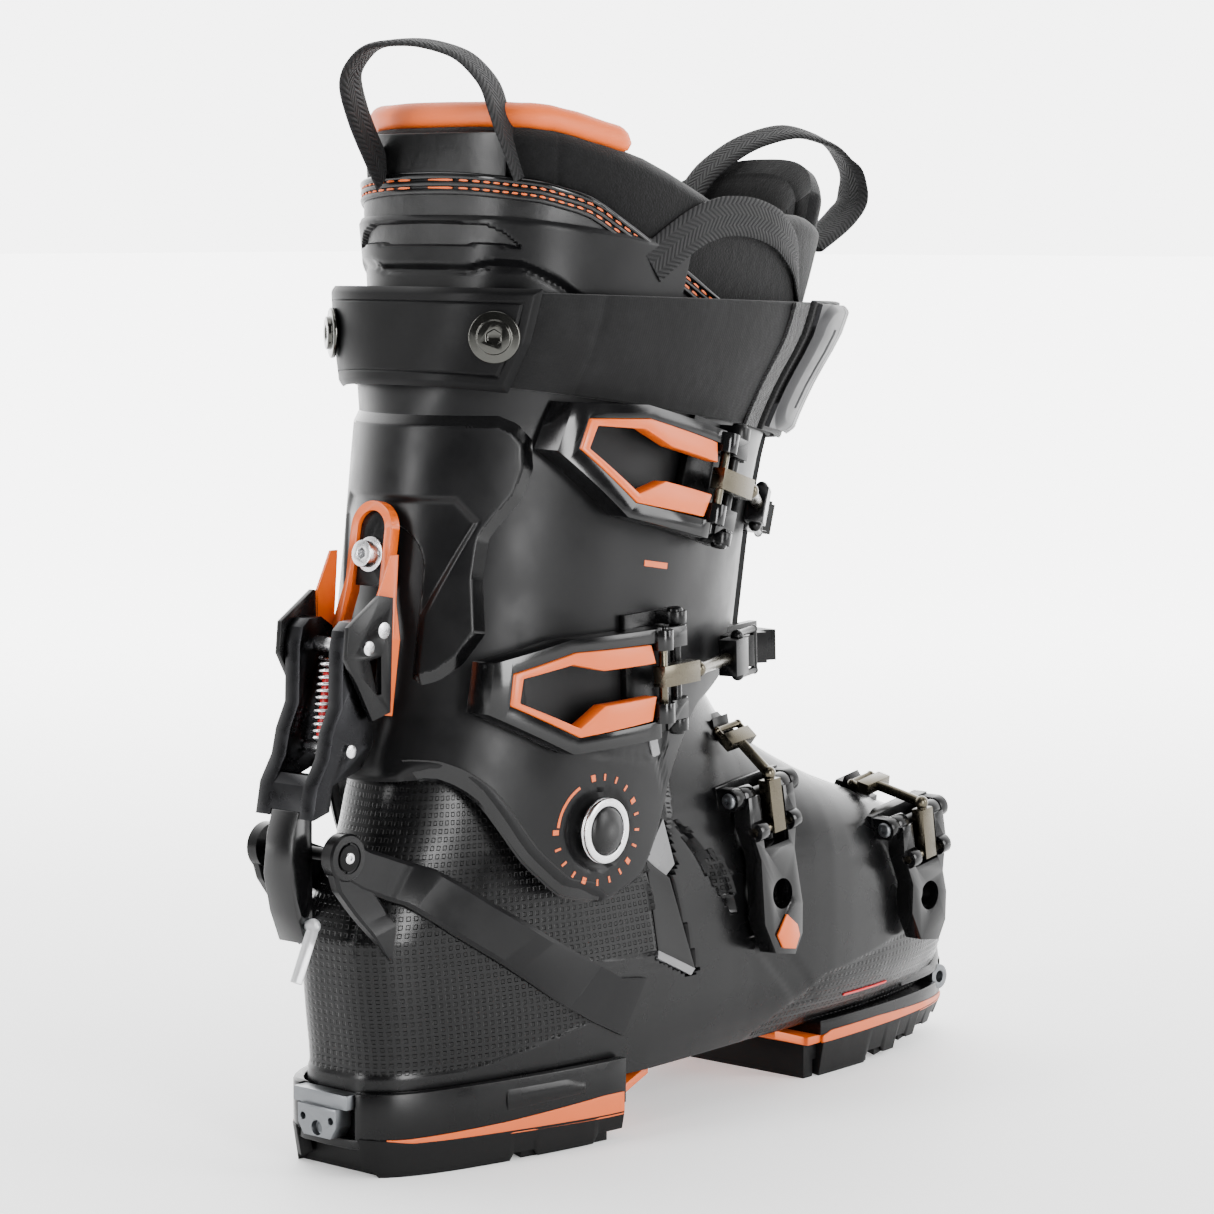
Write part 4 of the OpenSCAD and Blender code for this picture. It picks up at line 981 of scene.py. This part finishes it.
def lever_spring():
    """The lock spring as a real coil between the arms."""
    turns, wire, radius = 12, 0.55, 3.3
    pins = np.array([[0.0, 0, 136], [5.5, 0, 168]])
    way = (pins[1] - pins[0]) / np.linalg.norm(pins[1] - pins[0])
    ends = np.array([pins[0] + way * 3.0, pins[1] - way * 4.2])
    t = np.linspace(0, 1, turns * 18 + 1)
    u = np.cross(way, (0, 1, 0))
    u /= np.linalg.norm(u)
    v = np.cross(way, u)
    turn = (2 * np.pi * turns * t)[:, None]
    out = np.cos(turn) * u + np.sin(turn) * v
    c = ends[0] + t[:, None] * (ends[1] - ends[0]) + radius * out
    d = np.gradient(c, axis=0)
    d /= np.linalg.norm(d, axis=1)[:, None]
    side = np.cross(d, out)
    ring = np.linspace(0, 2 * np.pi, 9)[:-1, None]
    grid = c[:, None] + wire * (np.cos(ring) * out[:, None] + np.sin(ring) * side[:, None])
    body = node_body["lever_spring"]
    loft("lever_spring_coil", grid, body, "steel", replaces=["lever_spring"], angle=60)
    rows = [ends[0] + way * h + r * (np.cos(ring) * u + np.sin(ring) * v)
            for h, r in ((0, 1.5), (1, 1.9), (20, 1.9), (21, 1.5))]
    loft("lever_spring_core", rows, body, "red", angle=60)


# ---- soles

def skirt(name, at, low, high, grow, mat, thick, crown=0.0):
    """A side wall of the sole: at(out) gives its plan line, low and high its lower and upper edge."""
    grid = []
    for v in np.linspace(0, 1, 9):
        p = at(grow[0] + (grow[1] - grow[0]) * v + crown * math.sin(math.pi * v))
        p[:, 2] = low + (high - low) * v
        grid.append(p)
    surface(name, np.stack(grid, 1), thick, "shell", mat, rim=0.3)


def saw(x, steps):
    """Height steps of a lugged edge: [x, height] pairs joined by short ramps."""
    return look(x, [p for (x0, x1, z0) in steps for p in ([x0, z0], [x1, z0])])


HEEL_LUGS = [(6, 7.5, 2.6), (9, 51, 0.0), (52.5, 60, 2.4), (61.5, 84, 0.2), (86, 97, 3.2)]
TOE_LUGS = [(200, 203, 2.5), (205, 235, 0.0), (237.5, 246, 3.8), (247.5, 255, 1.6), (256.5, 263, 5.6),
            (264, 270, 4.0), (271.5, 277, 7.2), (278, 284, 6.0), (285.5, 290, 8.6), (291, 296, 7.6),
            (297, 305, 9.6)]


def heel_line(x, side):
    """Plan line of the heel's side wall, as a function of how far out it lies."""
    return lambda out: surface_at(x, SOLE_LINE_Z + 0 * x, side, out, "shell")


def toe_line(a, out):
    """Plan line of the toe's side wall: a rounded box, a degrees off straight ahead."""
    r = np.radians(a)
    return np.stack([200 + (105 + out) * np.abs(np.cos(r)) ** 0.8,
                     3 + (42 + out) * sgn_pow(np.sin(r), 0.5), 0 * r], -1)


def soles():
    x = np.linspace(6, 96.6, 273)
    black_top = eased(x, [[6, 12.6], [12, 12.0], [18, 10.9], [50, 10.3], [90, 9.3]], 1)
    orange_top = eased(x, [[6, 12.6], [16, 12.2], [50, 13.4], [88, 15.9]], 1)
    for side, tag in SIDES:
        skirt("heel_skirt_" + tag, heel_line(x, side), saw(x, HEEL_LUGS), black_top, (3.0, 4.7),
              "rubber", 4.0)
        skirt("heel_stripe_" + tag, heel_line(x[16:], side), (black_top - 1.0)[16:], orange_top[16:],
              (4.55, 4.75), "orange", 1.2)
        px = np.linspace(50, 80, 40)
        skirt("heel_plate_" + tag, heel_line(px, side), 16.6 + (px - 50) * 0.05,
              SOLE_LINE_Z - 2.0 * step(72, 80, px), (4.3, 4.3), "trim", 1.0, crown=0.75)
        a = np.linspace(88, 27, 150) * -side
        tx = toe_line(a, 0)[:, 0]
        skirt("toe_stripe_" + tag, lambda out, a=a: toe_line(a, out), look(tx, [[200, 11.6], [300, 12.6]]),
              look(tx, [[200, 12.4], [212, 15.9], [240, 16.2], [298, 14.7]]), (0.15, 0.35), "orange", 1.2)
        line = np.stack([np.linspace(212, 240, 30), np.full(30, 29.2)], 1)
        ribbon("toe_red_line_" + tag, line, 0.7, "shell", "red", side)
    a = np.linspace(88, -88, 700)
    tx = toe_line(a, 0)[:, 0]
    skirt("toe_skirt", lambda out: toe_line(a, out), saw(tx, TOE_LUGS),
          look(tx, [[200, 12.4], [212, 12.1], [300, 13.5]]), (-1.8, 0.3), "rubber", 4.0)
    b = np.linspace(62, -62, 200)
    skirt("toe_bumper", lambda out: toe_line(b, out), 24, 27.4 + 5.5 * step(282, 296, toe_line(b, 0)[:, 0]),
          (-0.4, -1.2), "trim", 3.0, crown=0.3)


# ---- walk mechanism and buckles

def screw(name, place, axis, r, body, mat, tall=1.3, hexed=True):
    """A button head with a rounded rim and a hexagonal or round socket; place in heel-frame mm."""
    axis = np.asarray(axis, float) / np.linalg.norm(axis)
    u = np.cross(axis, (0.3, 0.2, 0.93))
    u /= np.linalg.norm(u)
    ring = np.arange(24) * np.pi / 12
    spokes = np.cos(ring)[:, None] * u + np.sin(ring)[:, None] * np.cross(axis, u)
    socket = r * 0.414 / np.cos((ring % (np.pi / 3)) - np.pi / 6) if hexed else r * 0.4
    rows = [(r, -0.3), (r, tall * 0.35), (r * 0.93, tall * 0.75), (r * 0.78, tall), (r * 0.52, tall),
            (socket, tall), (socket, tall * 0.25)]
    grid = [place + axis * h + np.reshape(q, (-1, 1)) * spokes for q, h in rows]
    loft(name, grid, body, mat, angle=40)


def turned(buckle, points):
    """Points of a buckle's own frame in heel-frame mm; buckle is its place, tilt and yaw."""
    place, tilt, yaw = buckle
    c, s = math.cos(math.radians(180 + yaw)), math.sin(math.radians(180 + yaw))
    p = np.asarray(points, float)
    p = np.stack([p[..., 0] * c - p[..., 1] * s, p[..., 0] * s + p[..., 1] * c, p[..., 2]], -1)
    c, s = math.cos(math.radians(tilt)), math.sin(math.radians(tilt))
    return np.stack([p[..., 0] * c + p[..., 2] * s, p[..., 1], -p[..., 0] * s + p[..., 2] * c], -1) + place


BUCKLES = {"upper": ((128, -60.2, 214), 16, 5), "lower": ((104, -57.8, 155.5), -2, 1),
           "instep": ((159, -48.8, 109), -97, 3), "toe": ((245, -49.4, 89), -99, 0)}


def buckle_screws():
    """Socket screws at both ends of each hinge pin."""
    for name, buckle in BUCKLES.items():
        on_cuff = name in ("upper", "lower")
        half, body, mat = (19.4, "cuff", "trim") if on_cuff else (16.4, "shell", "forged")
        for end, tag in ((1, "top"), (-1, "low")):
            place, tip = turned(buckle, [(0, 0, end * half), (0, 0, end * (half + 1))])
            screw(f"{name}_hinge_screw_{tag}", place, tip - place, 2.7, body, mat)


# Upper and lower edge of each arm at stations from the lock bar on, as X and Z
LONG_ARM = [((-6, 110), (-8, 97)), ((3, 105.4), (-1, 93)), ((10.7, 102.7), (5.2, 90.4)),
            ((26.3, 96.8), (15, 86.3)), ((43.6, 84.4), (28.5, 75.9)), ((63.5, 71.8), (46.6, 64.1)),
            ((80.1, 62.1), (65.9, 50.8)), ((95.5, 53.3), (83.5, 40.3)), ((106, 52), (96, 34))]
SHORT_ARM = [((1, 100), (-14, 103)), ((5.2, 91.5), (-11, 94)), ((8.6, 86.8), (-4.6, 86)),
             ((11.4, 80.5), (2, 78)), ((10.0, 69.5), (9.5, 69.3))]


def brace_arm(name, stations, side, rise):
    """A flat chamfered arm along the shell, never nearer to the middle than the lock bar's bosses."""
    ends, least, soft = np.array(stations, float), 17, 9
    t = np.linspace(0, len(ends) - 1, 12 * len(ends))
    edges = np.stack([[np.interp(t, range(len(ends)), ends[:, i, j]) for j in (0, 1)] for i in (0, 1)])
    rows = []
    for k, depth in ((0, -1.0), (0, 0.62), (0.09, 1.0), (0.91, 1.0), (1, 0.62), (1, -1.0)):
        x, z = edges[0] * (1 - k) + edges[1] * k
        wide = np.abs(surface_at(np.maximum(x, 9.5), z, side, 0.0, "shell")[:, 1])
        y = side * (0.5 * (wide + least + np.sqrt((wide - least) ** 2 + soft)) + rise(t) * depth)
        rows.append(np.stack([x, y, z], -1))
    return loft(name, np.stack(rows, 1), node_body["heel_brace"], "panel", angle=25)


def heel_brace():
    """The forked brace: two bosses on the lock bar, each with a long and a short arm along the shell."""
    for side, tag in SIDES:
        arm = brace_arm("brace_long_" + tag, LONG_ARM, side, lambda t: 2.0 - 3.6 * step(4.6, 8, t))
        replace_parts(arm, "heel_brace")
        brace_arm("brace_short_" + tag, SHORT_ARM, side, lambda t: 1.6 - 1.2 * step(2.6, 4, t))
        turn = [(7.5, 14.6), (7.6, 18.6), (7.0, 19.3), (5.0, 19.5), (4.7, 18.6), (0.01, 18.6)]
        pts = [(LOCK[0] + r * math.cos(a), side * y, LOCK[1] + r * math.sin(a))
               for r, y in turn for a in np.arange(40) * np.pi / 20]
        solid("brace_boss_" + tag, pts, grid_faces(len(turn), 40, close_v=True) + [range(40)],
              node_body["heel_brace"], "trim", angle=30)
        screw("lock_pin_" + tag, (LOCK[0], side * 19.6, LOCK[1]), (0, side, 0), 1.9, node_body["lock_bar"],
              "steel", 0.6, False)


def print_on_cuff():
    """Plain marks in place of lettering: an orange dash on the side and height ticks at the back."""
    x = np.linspace(96, 107, 12)
    ribbon("cuff_dash", np.stack([x, 190.5 - (x - 96) * 0.16], 1), 1.9, "cuff", "orange", -1)
    t = np.linspace(0, 1, 6)
    for i, z in enumerate((179.7, 176.5, 173.4)):
        rows = [cuff_point(201.5 + 2.6 * t, z + k * (1.9 - 1.6 * t), 1.05) for k in (-0.5, 0.5)]
        surface(f"ramp_tick_{i}", np.stack(rows, 1), 0.4, "cuff", "orange", rim=0)


# ---- studio

def studio():
    """A pale sweep: brightest in the direction of the view, dimmer behind the camera."""
    world = bpy.data.worlds.new("studio")
    bpy.context.scene.world = world
    world.use_nodes = True
    tree = world.node_tree
    facing = tree.nodes.new("ShaderNodeTexCoord")
    dot = tree.nodes.new("ShaderNodeVectorMath")
    dot.operation = "DOT_PRODUCT"
    east, north = math.sin(math.radians(VIEW_TURN)), math.cos(math.radians(VIEW_TURN))
    dot.inputs[1].default_value = (east, north, 0)
    shade = tree.nodes.new("ShaderNodeMapRange")
    shade.interpolation_type = "SMOOTHSTEP"
    for i, v in enumerate((-0.3, 0.85, 0.2, 5.8)):
        shade.inputs[i + 1].default_value = v
    tree.links.new(facing.outputs["Generated"], dot.inputs[0])
    tree.links.new(dot.outputs["Value"], shade.inputs[0])
    tree.links.new(shade.outputs["Result"], tree.nodes["Background"].inputs["Strength"])
    tree.nodes["Background"].inputs["Color"].default_value = (1, 1, 1, 1)

    me = bpy.data.meshes.new("floor")
    me.from_pydata([(-30, -30, 0), (30, -30, 0), (30, 30, 0), (-30, 30, 0)], [], [(0, 1, 2, 3)])
    floor = link("floor", me)
    t = Tree("pale_floor", (0.93, 0.93, 0.93), 0.6, spec=0.2)
    t.raise_by(t.noise(300, 2), 0.01)
    # painted light: the floor glows, from nothing on the camera's side up to strength 4.2 beyond the boot
    x, y, _ = t.axes()
    far = t.math("ADD", t.math("MULTIPLY", x, east), t.math("MULTIPLY", y, north))
    t.bsdf.inputs["Emission Color"].default_value = (1, 1, 1, 1)
    t.feed(t.span(far, -0.2, 1.6, 0.0, 4.2), t.bsdf.inputs["Emission Strength"])
    me.materials.append(t.done())

    def area(name, place, aim, size, power):
        lamp = bpy.data.lights.new(name, "AREA")
        lamp.shape, lamp.size, lamp.size_y, lamp.energy = "RECTANGLE", size[0], size[1], power
        o = link(name, lamp)
        o.location = place
        o.rotation_euler = (Vector(aim) - Vector(place)).to_track_quat("-Z", "Y").to_euler()

    centre = (0.06, 0, 0.17)
    area("key", (-0.38, -1.3, 0.42), centre, (0.3, 0.75), 21)
    area("fill", (0.75, -1.25, 0.6), centre, (0.5, 0.9), 18)
    area("top", (-0.1, -0.1, 1.5), centre, (0.9, 0.7), 7)
    area("rim", (-1.25, 0.35, 0.6), centre, (0.3, 1.0), 18)


def camera():
    data = bpy.data.cameras.new("camera")
    data.sensor_width, data.lens, data.clip_start = 36, 107.5, 0.05
    turn, rise, distance = math.radians(-VIEW_TURN), math.radians(6.0), 1.17451
    aim = Vector((0.05159, -0.03903, 0.17574))
    back = Vector((math.sin(turn) * math.cos(rise), -math.cos(turn) * math.cos(rise), math.sin(rise)))
    o = link("camera", data)
    o.location = aim + back * distance
    o.rotation_euler = (-back).to_track_quat("-Z", "Y").to_euler()
    bpy.context.scene.camera = o


for mat, names in HARD.items():
    for node in names.split():
        polished(node, mat)
paint(polished("heel_sole_carrier", "trim"), "orange", lambda c, _: c[:, 0] > 90)
lower_shell()
cuff_shell()
backbone()
pivot_prints()
liner_cuff()
collar_roll()
spoiler()
power_strap()
strap_plate()
strap_front()
pull_loops()
tongue()
lever_spring()
soles()
heel_brace()
buckle_screws()
print_on_cuff()

studio()
camera()
